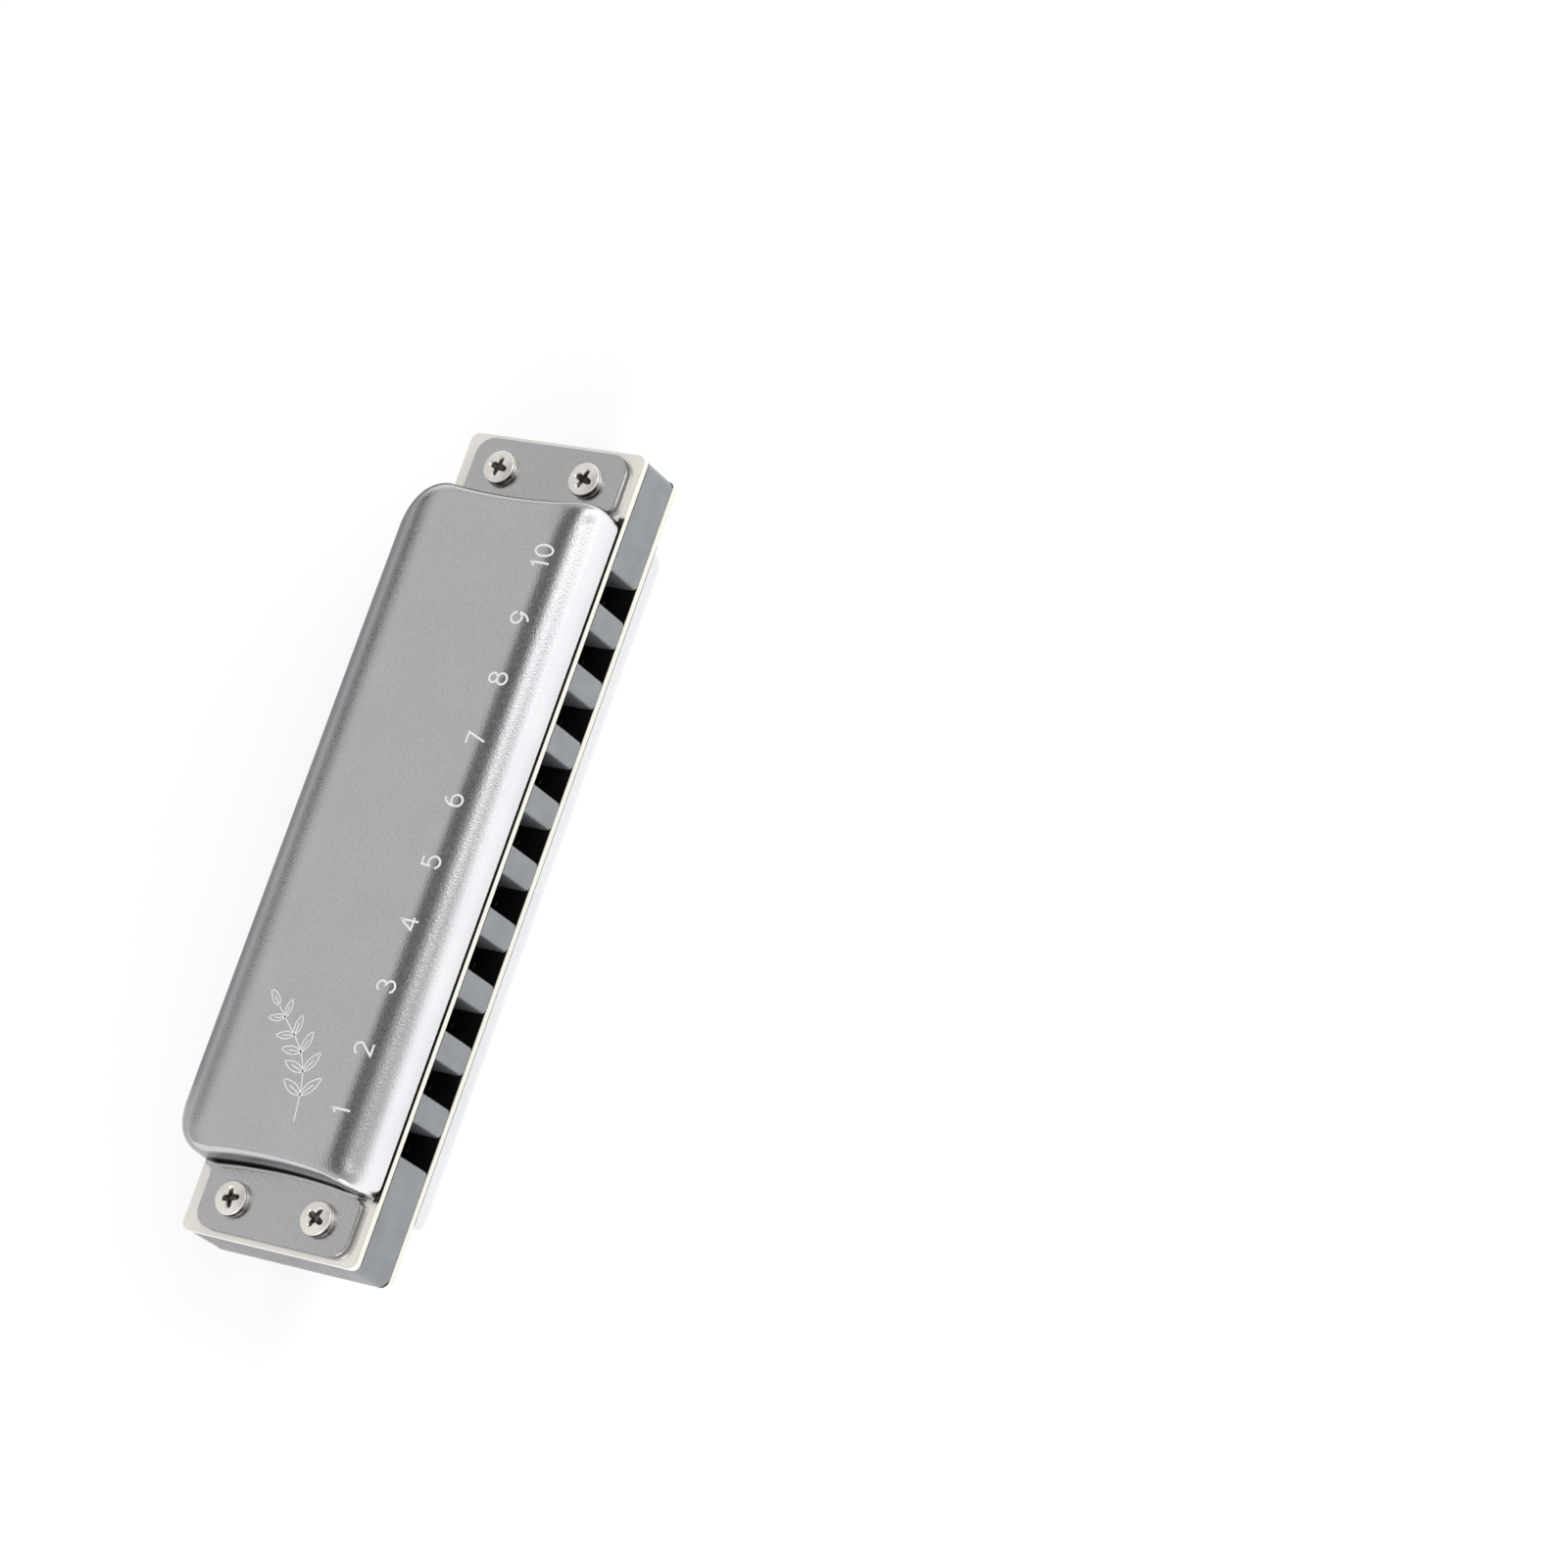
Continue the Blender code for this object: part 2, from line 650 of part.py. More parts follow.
def make_cover(name, side, parts, cutters):
    """A stamped cover: half of its outer skin, mirrored and thickened inwards."""
    bm = bmesh.new()
    rows = []
    for column in cover_columns():
        rows.append([bm.verts.new((x, y, side * z)) for x, y, z in column])
    faces = [bm.faces.new([row[0] for row in rows])]
    for row, next_row in zip(rows, rows[1:]):
        for step in range(min(len(row), len(next_row)) - 1):
            corners = (row[step], row[step + 1], next_row[step + 1], next_row[step])
            faces.append(bm.faces.new(corners))
    if side == LOWER:
        bmesh.ops.reverse_faces(bm, faces=faces)
    cover = finish_mesh(name, bm, parts, (0.0, 0.0, level(side, 0.0)))
    mirror = cover.modifiers.new("other half", "MIRROR")
    mirror.merge_threshold = 1e-6
    shell = cover.modifiers.new("sheet", "SOLIDIFY")
    shell.thickness = SHEET
    shell.offset = -1.0
    shell.use_even_offset = True
    drill(cover, cutters, screw_places(), COVER_SCREW_DIAMETER + 2 * SCREW_GAP, PLATE_SCREW_STEPS)
    paint(cover, (0.42, 0.43, 0.44), 1.0, 0.38)
    smooth(cover)


def cross_recess(name, top, location, cutters):
    """Cutter for a cross recess: two crossed bars, tapered towards the bottom."""
    bm = bmesh.new()
    wide, narrow = RECESS_REACH / 2, RECESS_WIDTH / 2
    outline = []
    for quarter in range(4):
        turn = Matrix.Rotation(quarter * math.pi / 2, 2)
        for point in ((wide, -narrow), (wide, narrow), (narrow, narrow)):
            x = turn[0][0] * point[0] + turn[0][1] * point[1]
            y = turn[1][0] * point[0] + turn[1][1] * point[1]
            outline.append((x, y))
    bottom = []
    upper = []
    for x, y in outline:
        bottom.append(bm.verts.new((x * RECESS_TAPER, y * RECESS_TAPER, top - RECESS_DEPTH)))
        upper.append(bm.verts.new((x, y, top + CUT_OVERSHOOT)))
    bm.faces.new(reversed(bottom))
    bm.faces.new(upper)
    count = len(outline)
    for step in range(count):
        following = (step + 1) % count
        bm.faces.new((bottom[step], bottom[following], upper[following], upper[step]))
    return as_cutter(finish_mesh(name, bm, cutters, location))


def make_cover_screws(parts, cutters):
    """Pan-head screws from the top, through everything, into nuts under the bottom cover."""
    seat = level(UPPER, flange_top_height) + HEAD_GAP
    nut_top = level(LOWER, flange_top_height) - HEAD_GAP
    tip = nut_top - NUT_HEIGHT - COVER_SCREW_TIP
    radius, head = COVER_SCREW_DIAMETER / 2, COVER_SCREW_HEAD / 2
    dome = COVER_SCREW_HEAD_HEIGHT - COVER_SCREW_RIM
    profile = [(0.0, COVER_SCREW_HEAD_HEIGHT)]
    for step in range(1, DOME_STEPS + 1):
        turn = math.pi / 2 * step / DOME_STEPS
        out = math.sin(turn) ** (2 / HEAD_SQUARENESS)
        rise = max(math.cos(turn), 0.0) ** (2 / HEAD_SQUARENESS)
        profile.append((head * out, COVER_SCREW_RIM + dome * rise))
    profile += [(head, 0.0), (radius, 0.0), (radius, tip - seat), (0.0, tip - seat)]
    for place, x, y in cover_screw_places():
        location = (x, y, seat)
        name = "cover_screw_" + place
        screw = turned(name, parts, profile, COVER_SCREW_STEPS, location)
        recess = cross_recess(name + "_recess", COVER_SCREW_HEAD_HEIGHT, location, cutters)
        boolean(screw, recess)
        paint(screw, (0.80, 0.76, 0.72), 1.0, 0.16)
        bm = bmesh.new()
        add_cylinder(bm, NUT_WIDTH / math.sqrt(3), NUT_HEIGHT, (0.0, 0.0, 0.0), 6)
        nut = finish_mesh("cover_nut_" + place, bm, parts, (x, y, nut_top - NUT_HEIGHT / 2))
        bm = bmesh.new()
        bore = radius + SCREW_GAP
        add_cylinder(bm, bore, NUT_HEIGHT + CUT_OVERSHOOT, (0.0, 0.0, 0.0), PLATE_SCREW_STEPS)
        boolean(nut, as_cutter(finish_mesh(nut.name + "_bore", bm, cutters, nut.location)))
        paint(nut, (0.74, 0.71, 0.68), 1.0, 0.25)


def make_plate_screws(parts, cutters):
    """Small slotted screws that clamp both reed plates to the comb."""
    seat = level(UPPER, plate_outer_height) + HEAD_GAP
    tip = level(LOWER, plate_outer_height) - PLATE_SCREW_TIP
    radius, head = PLATE_SCREW_DIAMETER / 2, PLATE_SCREW_HEAD / 2
    shoulder_height = PLATE_SCREW_HEAD_HEIGHT - PLATE_SCREW_BEVEL
    profile = (
        (0.0, PLATE_SCREW_HEAD_HEIGHT),
        (head - PLATE_SCREW_BEVEL, PLATE_SCREW_HEAD_HEIGHT),
        (head, shoulder_height),
        (head, 0.0),
        (radius, 0.0),
        (radius, tip - seat),
        (0.0, tip - seat),
    )
    for number, (x, y) in enumerate(plate_screw_places(), start=1):
        name = f"plate_screw_{number}"
        location = (x, y, seat)
        screw = turned(name, parts, profile, PLATE_SCREW_STEPS, location)
        bm = bmesh.new()
        size = (PLATE_SCREW_HEAD + CUT_OVERSHOOT, PLATE_SCREW_SLOT, 2 * PLATE_SCREW_SLOT_DEPTH)
        add_box(bm, size, (0.0, 0.0, PLATE_SCREW_HEAD_HEIGHT))
        boolean(screw, as_cutter(finish_mesh(name + "_slot", bm, cutters, location)))
        paint(screw, (0.78, 0.74, 0.66), 1.0, 0.25)


def main():
    clear_scene()
    parts = make_collection("diatonic_harmonica")
    cutters = make_collection("cutters")
    make_comb(parts, cutters)
    make_reed_plates(parts, cutters)
    make_reeds(parts, cutters)
    make_cover("top_cover", UPPER, parts, cutters)
    make_cover("bottom_cover", LOWER, parts, cutters)
    make_cover_screws(parts, cutters)
    make_plate_screws(parts, cutters)


main()
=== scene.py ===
"""Looks of the ten-hole diatonic harmonica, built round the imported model.

Everything is in metres with +Z up, in the model's own frame: the mouth side faces -Y and
hole 1 is at -X. Heights called levels are counted outwards from a face of the comb, up on
the upper side and down on the lower side.
"""

import math

import bmesh
import bpy
from mathutils import Matrix, Vector


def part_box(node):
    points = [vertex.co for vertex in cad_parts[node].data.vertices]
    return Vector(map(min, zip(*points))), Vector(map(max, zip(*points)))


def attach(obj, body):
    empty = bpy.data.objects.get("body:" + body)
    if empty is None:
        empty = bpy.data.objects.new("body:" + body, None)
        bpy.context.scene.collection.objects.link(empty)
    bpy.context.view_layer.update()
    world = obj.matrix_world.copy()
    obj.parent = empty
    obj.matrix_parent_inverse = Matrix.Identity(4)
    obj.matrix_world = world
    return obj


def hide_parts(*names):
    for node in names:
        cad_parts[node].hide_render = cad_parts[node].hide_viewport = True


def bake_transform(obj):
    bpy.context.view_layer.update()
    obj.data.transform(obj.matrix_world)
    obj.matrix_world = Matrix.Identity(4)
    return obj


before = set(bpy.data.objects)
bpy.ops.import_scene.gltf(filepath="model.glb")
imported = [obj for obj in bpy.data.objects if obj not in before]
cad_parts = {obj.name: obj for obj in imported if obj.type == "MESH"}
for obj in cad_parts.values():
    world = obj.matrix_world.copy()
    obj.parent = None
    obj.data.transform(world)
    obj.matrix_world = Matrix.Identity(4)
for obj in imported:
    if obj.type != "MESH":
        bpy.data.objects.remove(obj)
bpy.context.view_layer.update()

MM = 0.001
UPPER = 1
LOWER = -1
QUARTER = math.pi / 2

# Comb
HOLE_WIDTH = 4.0 * MM
MOUTH_ROUND = 0.45 * MM
CHAMBER_CORNER = 0.4 * MM
CHAMBER_END_GAP = 0.3 * MM
COMB_CORNER = 1.3 * MM
COMB_EDGE = 0.12 * MM

# Reed plates
PLATE_CORNER = 1.0 * MM
PLATE_EDGE = 0.45 * MM
PLATE_BURR = 0.05 * MM

# Reeds
TONGUE_WIDTH = 2.2 * MM
TONGUE_THICKNESS = 0.25 * MM
PAD_LENGTH = 3.0 * MM
REED_OFFSET = 0.05 * MM
REED_SIDE_GAP = 0.1 * MM
REED_TIP_GAP = 0.15 * MM
REED_EDGE = 0.05 * MM
TONGUE_SECTIONS = 20

# Rivets
RIVET_DIAMETER = 0.9 * MM
RIVET_GAP = 0.1 * MM
RIVET_HEAD_DIAMETER = 1.6 * MM
RIVET_HEAD_HEIGHT = 0.4 * MM
RIVET_TAIL_DIAMETER = 1.3 * MM
RIVET_TAIL_HEIGHT = 0.15 * MM
RIVET_TAIL_ROUND = 0.1 * MM

# Covers, stamped from sheet
SHEET = 0.5 * MM
SHEET_EDGE = 0.09 * MM
COVER_GAP = 0.3 * MM
CROWN_RING = 0.3 * MM
FRONT_SHOULDER = 5.2 * MM
REAR_SHOULDER = 7.2 * MM
END_SHOULDER = 2.0 * MM
FRONT_CORNER = 1.7 * MM
REAR_CORNER = 6.0 * MM
FRONT_CROWN_CORNER = 3.6 * MM
REAR_CROWN_CORNER = 2.6 * MM
END_BOW = 0.65 * MM
FRONT_WALL = 0.85 * MM
FRONT_REACH = 0.15 * MM
FRONT_DROP = 0.15 * MM
END_REACH = 0.3 * MM
REAR_LIP_HEIGHT = 1.35 * MM
REAR_CURL_RADIUS = 1.0 * MM
REAR_CURL_BEND = math.radians(105)
SHOULDER_SQUARENESS = 2.0
END_SQUARENESS = 3.4

# Flanges at the covers' ends
FLANGE_LENGTH = 7.35 * MM
FLANGE_FRONT_INSET = 1.45 * MM
FLANGE_REAR_INSET = 1.9 * MM
FLANGE_CORNER = 2.2 * MM
FLANGE_FILLET = 0.35 * MM
FLANGE_FRONT_ROUND = 0.9 * MM
FLANGE_REAR_HOLLOW = 1.2 * MM
FLANGE_SEAM = 0.15 * MM
FLANGE_RIM = 0.2 * MM
# Painted shade in the crease at the foot of the end walls: how high it fades out, and how far it reaches inwards and
# out over the flange.
CREASE_HEIGHT = 2.5 * MM
CREASE_DEPTH = 1.6 * MM
CREASE_REACH = 0.35 * MM

# Screws through the flanges, with their nuts
COVER_SCREW_DIAMETER = 2.0 * MM
COVER_SCREW_HEAD = 4.15 * MM
HEAD_DROP = 0.4 * MM
HEAD_ROUND = 0.22 * MM
HEAD_CROWN = 0.16 * MM
# Painted shade on the screw heads' side stops this far below the top and above the foot.
HEAD_BRIGHT_TOP = 0.32 * MM
HEAD_BRIGHT_FOOT = 0.1 * MM
THREAD_PITCH = 0.4 * MM
THREAD_DEPTH = 0.2 * MM
THREAD_LENGTH = 7.0 * MM
RECESS_WIDTH = 0.76 * MM
RECESS_REACH = 2.7 * MM
RECESS_DEPTH = 0.7 * MM
RECESS_LIP = 0.06 * MM
RECESS_TAPER = 0.7
RECESS_TURNS = {"rear_low": 13, "front_low": -24, "rear_high": -12, "front_high": -19}
NUT_CHAMFER = 0.25 * MM
HEAD_SEAT = 0.03 * MM
SCREW_GAP = 0.15 * MM

# Screws that clamp the reed plates to the comb
PLATE_SCREW_DIAMETER = 1.4 * MM
PLATE_SCREW_HEAD = 2.8 * MM
PLATE_SCREW_HEAD_HEIGHT = 0.8 * MM
PLATE_SCREW_ROUND = 0.3 * MM
PLATE_SCREW_SLOT = 0.4 * MM
PLATE_SCREW_SLOT_DEPTH = 0.4 * MM

# Marks on the top cover
MARK_LIFT = 0.015 * MM
MARK_SINK = 0.03 * MM
DIGIT_HEIGHT = 2.3 * MM
DIGIT_WIDTH = 0.62
DIGIT_FOOT = -10.1 * MM
DIGIT_SPACE = 0.16
DIGIT_STROKE = 0.24 * MM
SPRIG_STROKE = 0.12 * MM
MARK_STEP = 0.2 * MM

FLOOR_GAP = 0.02 * MM

CUT_OVERSHOOT = 1.0 * MM
FINISH_ENDING = "_finish"

# Numbers of facets
SHOULDER_STEPS = 18
TAIL_STEPS = 8
FRONT_CORNER_STEPS = 12
REAR_CORNER_STEPS = 16
FLANGE_FOOT_STEPS = 6
FLANGE_CORNER_STEPS = 10
FLANGE_END_STEPS = 8
STRAIGHT_STEPS = 8
EDGE_STEPS = 6
CORNER_STEPS = 10
ROUND_STEPS = 64
SMALL_ROUND_STEPS = 32

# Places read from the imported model
comb_low, comb_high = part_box("comb")
plate_low, plate_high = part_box("upper_reed_plate")
cover_low, cover_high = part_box("top_cover")
comb_middle = (comb_low.z + comb_high.z) / 2
comb_half = (comb_high.z - comb_low.z) / 2
plate_front = plate_low.y
plate_rear = plate_high.y
plate_end = plate_high.x
plate_inner_level = plate_low.z - comb_high.z
plate_outer_level = plate_high.z - comb_high.z
seat_level = plate_outer_level + COVER_GAP
flange_level = seat_level + SHEET
crown_level = cover_high.z - comb_high.z
body_front = cover_low.y - FRONT_REACH
body_rear = cover_high.y
flange_end = cover_high.x + END_REACH
body_end = flange_end - FLANGE_LENGTH
flange_front = plate_front + FLANGE_FRONT_INSET
flange_rear = plate_rear - FLANGE_REAR_INSET
flange_foot_front = flange_front + FLANGE_FRONT_ROUND
flange_foot_rear = flange_rear + FLANGE_REAR_HOLLOW
crown_front = body_front + FRONT_SHOULDER
crown_rear = body_rear - REAR_SHOULDER
hole_numbers = range(1, sum(name.startswith("blow_reed_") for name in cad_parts) + 1)


def middle(node):
    """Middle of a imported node's box."""
    low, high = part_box(node)
    return (low + high) / 2


def level(side, height):
    """World height of a level on one side of the comb."""
    return comb_middle + side * (comb_half + height)


def blend(first, second, share):
    return first + (second - first) * share


def arc(centre, radius, start, end, steps):
    """Points on an arc in plan, with both ends."""
    points = []
    for step in range(steps + 1):
        angle = blend(start, end, step / steps)
        points.append((centre[0] + radius * math.cos(angle), centre[1] + radius * math.sin(angle)))
    return points


def hole_x(number):
    return middle(f"blow_reed_{number}").x


def screw_places(kind):
    """Names and plan places of the screws of one kind."""
    places = {}
    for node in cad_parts:
        if node.startswith(kind + "_"):
            place = middle(node)
            places[node.removeprefix(kind + "_")] = (place.x, place.y)
    return places


def add_mesh(name, bm):
    """Turn a bmesh into an object of the scene."""
    mesh = bpy.data.meshes.new(name)
    bm.to_mesh(mesh)
    bm.free()
    item = bpy.data.objects.new(name, mesh)
    bpy.context.scene.collection.objects.link(item)
    return item


def apply_modifiers(item):
    depsgraph = bpy.context.evaluated_depsgraph_get()
    mesh = bpy.data.meshes.new_from_object(item.evaluated_get(depsgraph))
    item.modifiers.clear()
    item.data = mesh


def cut(item, bm, operation="DIFFERENCE"):
    """Cut a shape out of a piece, or keep what they share with INTERSECT."""
    cutter = add_mesh(item.name + "_cutter", bm)
    modifier = item.modifiers.new("cut", "BOOLEAN")
    modifier.operation = operation
    modifier.object = cutter
    apply_modifiers(item)
    bpy.data.objects.remove(cutter, do_unlink=True)


def smooth(item, angle=35):
    item.data.shade_smooth()
    item.data.set_sharp_from_angle(angle=math.radians(angle))


def keep_flats(item):
    """Let large flat faces keep their flat shading beside rounded edges."""
    modifier = item.modifiers.new("flat faces", "WEIGHTED_NORMAL")
    modifier.keep_sharp = True
    apply_modifiers(item)


def dress(item, finish):
    """Give a piece its material."""
    item.data.materials.clear()
    item.data.materials.append(finish)


def stand_for(item, finish, *nodes):
    """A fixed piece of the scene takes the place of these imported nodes."""
    dress(item, finish)
    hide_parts(*nodes)
    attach(item, "root")


def add_block(bm, low, high):
    """A box from its lowest and highest corners."""
    low, high = Vector(low), Vector(high)
    placing = Matrix.Translation((low + high) / 2) @ Matrix.Diagonal((*(high - low), 1.0))
    bmesh.ops.create_cube(bm, size=1.0, matrix=placing)


def add_cylinder(bm, place, radius, bottom, top, steps):
    bmesh.ops.create_cone(
        bm,
        cap_ends=True,
        segments=steps,
        radius1=radius,
        radius2=radius,
        depth=top - bottom,
        matrix=Matrix.Translation((place[0], place[1], (top + bottom) / 2)),
    )


def turned(bm, profile, centre, steps):
    """A closed turned body: its profile runs from top to bottom in (radius, height) pairs."""
    rings = []
    for radius, height in profile:
        if radius == 0.0:
            rings.append([bm.verts.new((centre[0], centre[1], centre[2] + height))])
            continue
        ring = []
        for step in range(steps):
            angle = 2 * math.pi * step / steps
            x = centre[0] + radius * math.cos(angle)
            y = centre[1] + radius * math.sin(angle)
            ring.append(bm.verts.new((x, y, centre[2] + height)))
        rings.append(ring)
    for upper, lower in zip(rings, rings[1:]):
        for step in range(steps):
            after = (step + 1) % steps
            if len(upper) == 1:
                bm.faces.new((upper[0], lower[step], lower[after]))
            elif len(lower) == 1:
                bm.faces.new((upper[step], lower[0], upper[after]))
            else:
                bm.faces.new((upper[step], lower[step], lower[after], upper[after]))


def extruded(outline, bottom, top):
    """An upright body over an outline in plan that runs anticlockwise."""
    bm = bmesh.new()
    lower = [bm.verts.new((x, y, bottom)) for x, y in outline]
    upper = [bm.verts.new((x, y, top)) for x, y in outline]
    bm.faces.new(reversed(lower))
    bm.faces.new(upper)
    for step in range(len(outline)):
        after = (step + 1) % len(outline)
        bm.faces.new((lower[step], lower[after], upper[after], upper[step]))
    return bm


def bevel_level(bm, height, offset, steps):
    """Round the edges of a flat face at one height."""
    edges = [e for e in bm.edges if all(abs(v.co.z - height) < 1e-7 for v in e.verts)]
    bmesh.ops.bevel(
        bm,
        geom=edges,
        offset=offset,
        offset_type="OFFSET",
        segments=steps,
        profile=0.5,
        affect="EDGES",
    )


def rounded_rectangle(half_x, low_y, high_y, radius):
    outline = []
    corners = (
        (half_x - radius, high_y - radius, 0.0),
        (-half_x + radius, high_y - radius, QUARTER),
        (-half_x + radius, low_y + radius, 2 * QUARTER),
        (half_x - radius, low_y + radius, 3 * QUARTER),
    )
    for x, y, start in corners:
        outline += arc((x, y), radius, start, start + QUARTER, CORNER_STEPS)
    return outline


# Materials


class Finish:
    """A material under construction, with short calls for the nodes that it needs."""

    def __init__(self, name, metallic):
        self.material = bpy.data.materials.new(name + FINISH_ENDING)
        self.material.use_nodes = True
        self.tree = self.material.node_tree
        self.shader = self.tree.nodes["Principled BSDF"]
        self.shader.inputs["Metallic"].default_value = metallic
        coordinates = self.tree.nodes.new("ShaderNodeTexCoord").outputs
        self.place = coordinates["Object"]
        self.normal = coordinates["Normal"]

    def link(self, source, target):
        self.tree.links.new(source, target)

    def noise(self, size, detail=2.0, stretch=(1.0, 1.0, 1.0)):
        """Noise whose features are about this size in metres."""
        mapping = self.tree.nodes.new("ShaderNodeMapping")
        mapping.inputs["Scale"].default_value = stretch
        self.link(self.place, mapping.inputs["Vector"])
        noise = self.tree.nodes.new("ShaderNodeTexNoise")
        noise.inputs["Scale"].default_value = 1.0 / size
        noise.inputs["Detail"].default_value = detail
        self.link(mapping.outputs["Vector"], noise.inputs["Vector"])
        return noise.outputs["Fac"]

    def spread(self, source, low, high, start=0.3, end=0.7):
        """Stretch the middle of a noise to run from low to high."""
        ramp = self.tree.nodes.new("ShaderNodeMapRange")
        ramp.inputs["From Min"].default_value = start
        ramp.inputs["From Max"].default_value = end
        ramp.inputs["To Min"].default_value = low
        ramp.inputs["To Max"].default_value = high
        self.link(source, ramp.inputs["Value"])
        return ramp.outputs["Result"]

    def mixed(self, source, low, high):
        """Mix two colours by a noise."""
        mix = self.tree.nodes.new("ShaderNodeMix")
        mix.data_type = "RGBA"
        mix.inputs["A"].default_value = (*low, 1.0)
        mix.inputs["B"].default_value = (*high, 1.0)
        self.link(self.spread(source, 0.0, 1.0), mix.inputs["Factor"])
        return mix.outputs["Result"]

    def layered(self, share, under, colour):
        """One colour over another where the share is 1."""
        mix = self.tree.nodes.new("ShaderNodeMix")
        mix.data_type = "RGBA"
        self.link(share, mix.inputs["Factor"])
        self.link(under, mix.inputs["A"])
        mix.inputs["B"].default_value = (*colour, 1.0)
        return mix.outputs["Result"]

    def math(self, operation, first, second):
        node = self.tree.nodes.new("ShaderNodeMath")
        node.operation = operation
        for socket, value in zip(node.inputs, (first, second)):
            if isinstance(value, float):
                socket.default_value = value
            else:
                self.link(value, socket)
        return node.outputs[0]

    def part(self, vector, axis):
        axes = self.tree.nodes.new("ShaderNodeSeparateXYZ")
        self.link(vector, axes.inputs[0])
        return axes.outputs[axis]

    def away(self, axis, centre=0.0):
        """How far a place is from a centre along one axis, on either side."""
        return self.math("ABSOLUTE", self.math("SUBTRACT", self.part(self.place, axis), centre), 0.0)

    def between(self, source, low, high, softness):
        """1 where a value lies between two limits, fading to 0 outside."""
        rise = self.spread(source, 0.0, 1.0, low - softness, low)
        fall = self.spread(source, 1.0, 0.0, high, high + softness)
        return self.math("MULTIPLY", rise, fall)

    def colours(self, source, low, high):
        self.link(self.mixed(source, low, high), self.shader.inputs["Base Color"])

    def roughness(self, source, low, high):
        self.link(self.spread(source, low, high), self.shader.inputs["Roughness"])

    def bump(self, source, depth):
        """Raise the surface by a noise, with depth in metres."""
        bump = self.tree.nodes.new("ShaderNodeBump")
        bump.inputs["Strength"].default_value = 1.0
        bump.inputs["Distance"].default_value = depth
        self.link(source, bump.inputs["Height"])
        self.link(bump.outputs["Normal"], self.shader.inputs["Normal"])


def make_steel():
    """Bead-blasted stainless sheet with a frosted grain, painted shade in the crease at the foot of the end walls, a
    flange painted a little darker, and painted shade on the top cover's rims where they turn away from view.
    """
    finish = Finish("cover_steel", 1.0)
    cloudy = finish.mixed(finish.noise(9 * MM, 3.0), (0.575, 0.585, 0.600), (0.605, 0.614, 0.627))
    speckle = finish.math("MULTIPLY", finish.spread(finish.noise(0.2 * MM, 2.0), 0.0, 1.0), 0.05)
    frosted = finish.layered(speckle, cloudy, (0.30, 0.30, 0.31))
    # Painted shade: a dark band in the crease at the foot of the end walls, where they meet the flange, which also
    # dims the tint of the reflection there.
    foot = comb_half + flange_level
    height = finish.away("Z", comb_middle)
    above_flange = finish.spread(height, 0.0, 0.95, foot + 0.02 * MM, foot + 0.12 * MM)
    low = finish.math("MULTIPLY", above_flange, finish.spread(height, 1.0, 0.0, foot + 1.5 * MM, foot + CREASE_HEIGHT))
    end = finish.between(finish.away("X"), body_end - CREASE_DEPTH, body_end + CREASE_REACH, 0.25 * MM)
    flange_middle = (flange_foot_front + flange_foot_rear) / 2
    half_flange = (flange_foot_rear - flange_foot_front) / 2
    along = finish.between(finish.away("Y", flange_middle), 0.0, half_flange - 2.0 * MM, 2.0 * MM)
    crease = finish.math("MULTIPLY", finish.math("MULTIPLY", low, end), along)
    with_painted_shade = finish.layered(crease, frosted, (0.07, 0.07, 0.075))
    # Painted shade: the flange is painted a little darker than the crown.
    flange = finish.between(finish.away("X"), body_end + FLANGE_FILLET, plate_end, 0.3 * MM)
    flange_shaded = finish.layered(finish.math("MULTIPLY", flange, 0.2), with_painted_shade, (0.38, 0.39, 0.41))
    # Painted shade: the colour and the reflection's tint of the top cover darken where its surface turns away from
    # view, except at the low end.
    edge = finish.tree.nodes.new("ShaderNodeLayerWeight")
    turned_away = finish.spread(edge.outputs["Facing"], 0.0, 0.62, 0.5, 0.62)
    rim = finish.spread(edge.outputs["Facing"], 1.0, 0.35, 0.74, 1.0)
    low_end = finish.spread(finish.part(finish.place, "X"), 1.0, 0.0, -body_end + 4 * MM, -body_end + 9 * MM)
    kept = finish.math("MAXIMUM", rim, finish.math("SUBTRACT", 1.0, low_end))
    upper = finish.spread(finish.part(finish.place, "Z"), 0.0, 1.0, comb_middle - MM, comb_middle + MM)
    grazing = finish.math("MULTIPLY", finish.math("MULTIPLY", turned_away, kept), upper)
    plain = finish.math("MAXIMUM", low_end, finish.math("SUBTRACT", 1.0, upper))
    rim_shaded = finish.layered(grazing, flange_shaded, (0.16, 0.16, 0.17))
    finish.link(rim_shaded, finish.shader.inputs["Base Color"])
    dark_rim = finish.mixed(finish.noise(9 * MM), (0.48, 0.48, 0.49), (0.52, 0.52, 0.53))
    tint = finish.layered(plain, dark_rim, (1.0, 1.0, 1.0))
    finish.link(finish.layered(crease, tint, (0.14, 0.14, 0.14)), finish.shader.inputs["Specular Tint"])
    finish.roughness(finish.noise(0.3 * MM, 2.0), 0.17, 0.29)
    finish.bump(finish.noise(0.22 * MM, 2.0), 0.023 * MM)
    return finish.material


def make_comb_finish():
    """Grey anodised comb with a satin face, painted near-black inside the chambers as shade."""
    finish = Finish("comb_body", 0.35)
    anodised = finish.mixed(finish.noise(3 * MM, 4.0), (0.225, 0.235, 0.252), (0.275, 0.286, 0.302))
    # Painted shade: the chambers inside the comb are painted near-black.
    across = finish.between(finish.away("X"), 0.0, hole_x(len(hole_numbers)) + HOLE_WIDTH, 0.1 * MM)
    deep = finish.between(finish.away("Y"), 0.0, plate_rear - 1.6 * MM, 1.1 * MM)
    chambers = finish.layered(finish.math("MULTIPLY", across, deep), anodised, (0.03, 0.03, 0.032))
    finish.link(chambers, finish.shader.inputs["Base Color"])
    finish.roughness(finish.noise(0.8 * MM, 3.0), 0.36, 0.46)
    finish.bump(finish.noise(0.25 * MM, 3.0), 0.004 * MM)
    return finish.material


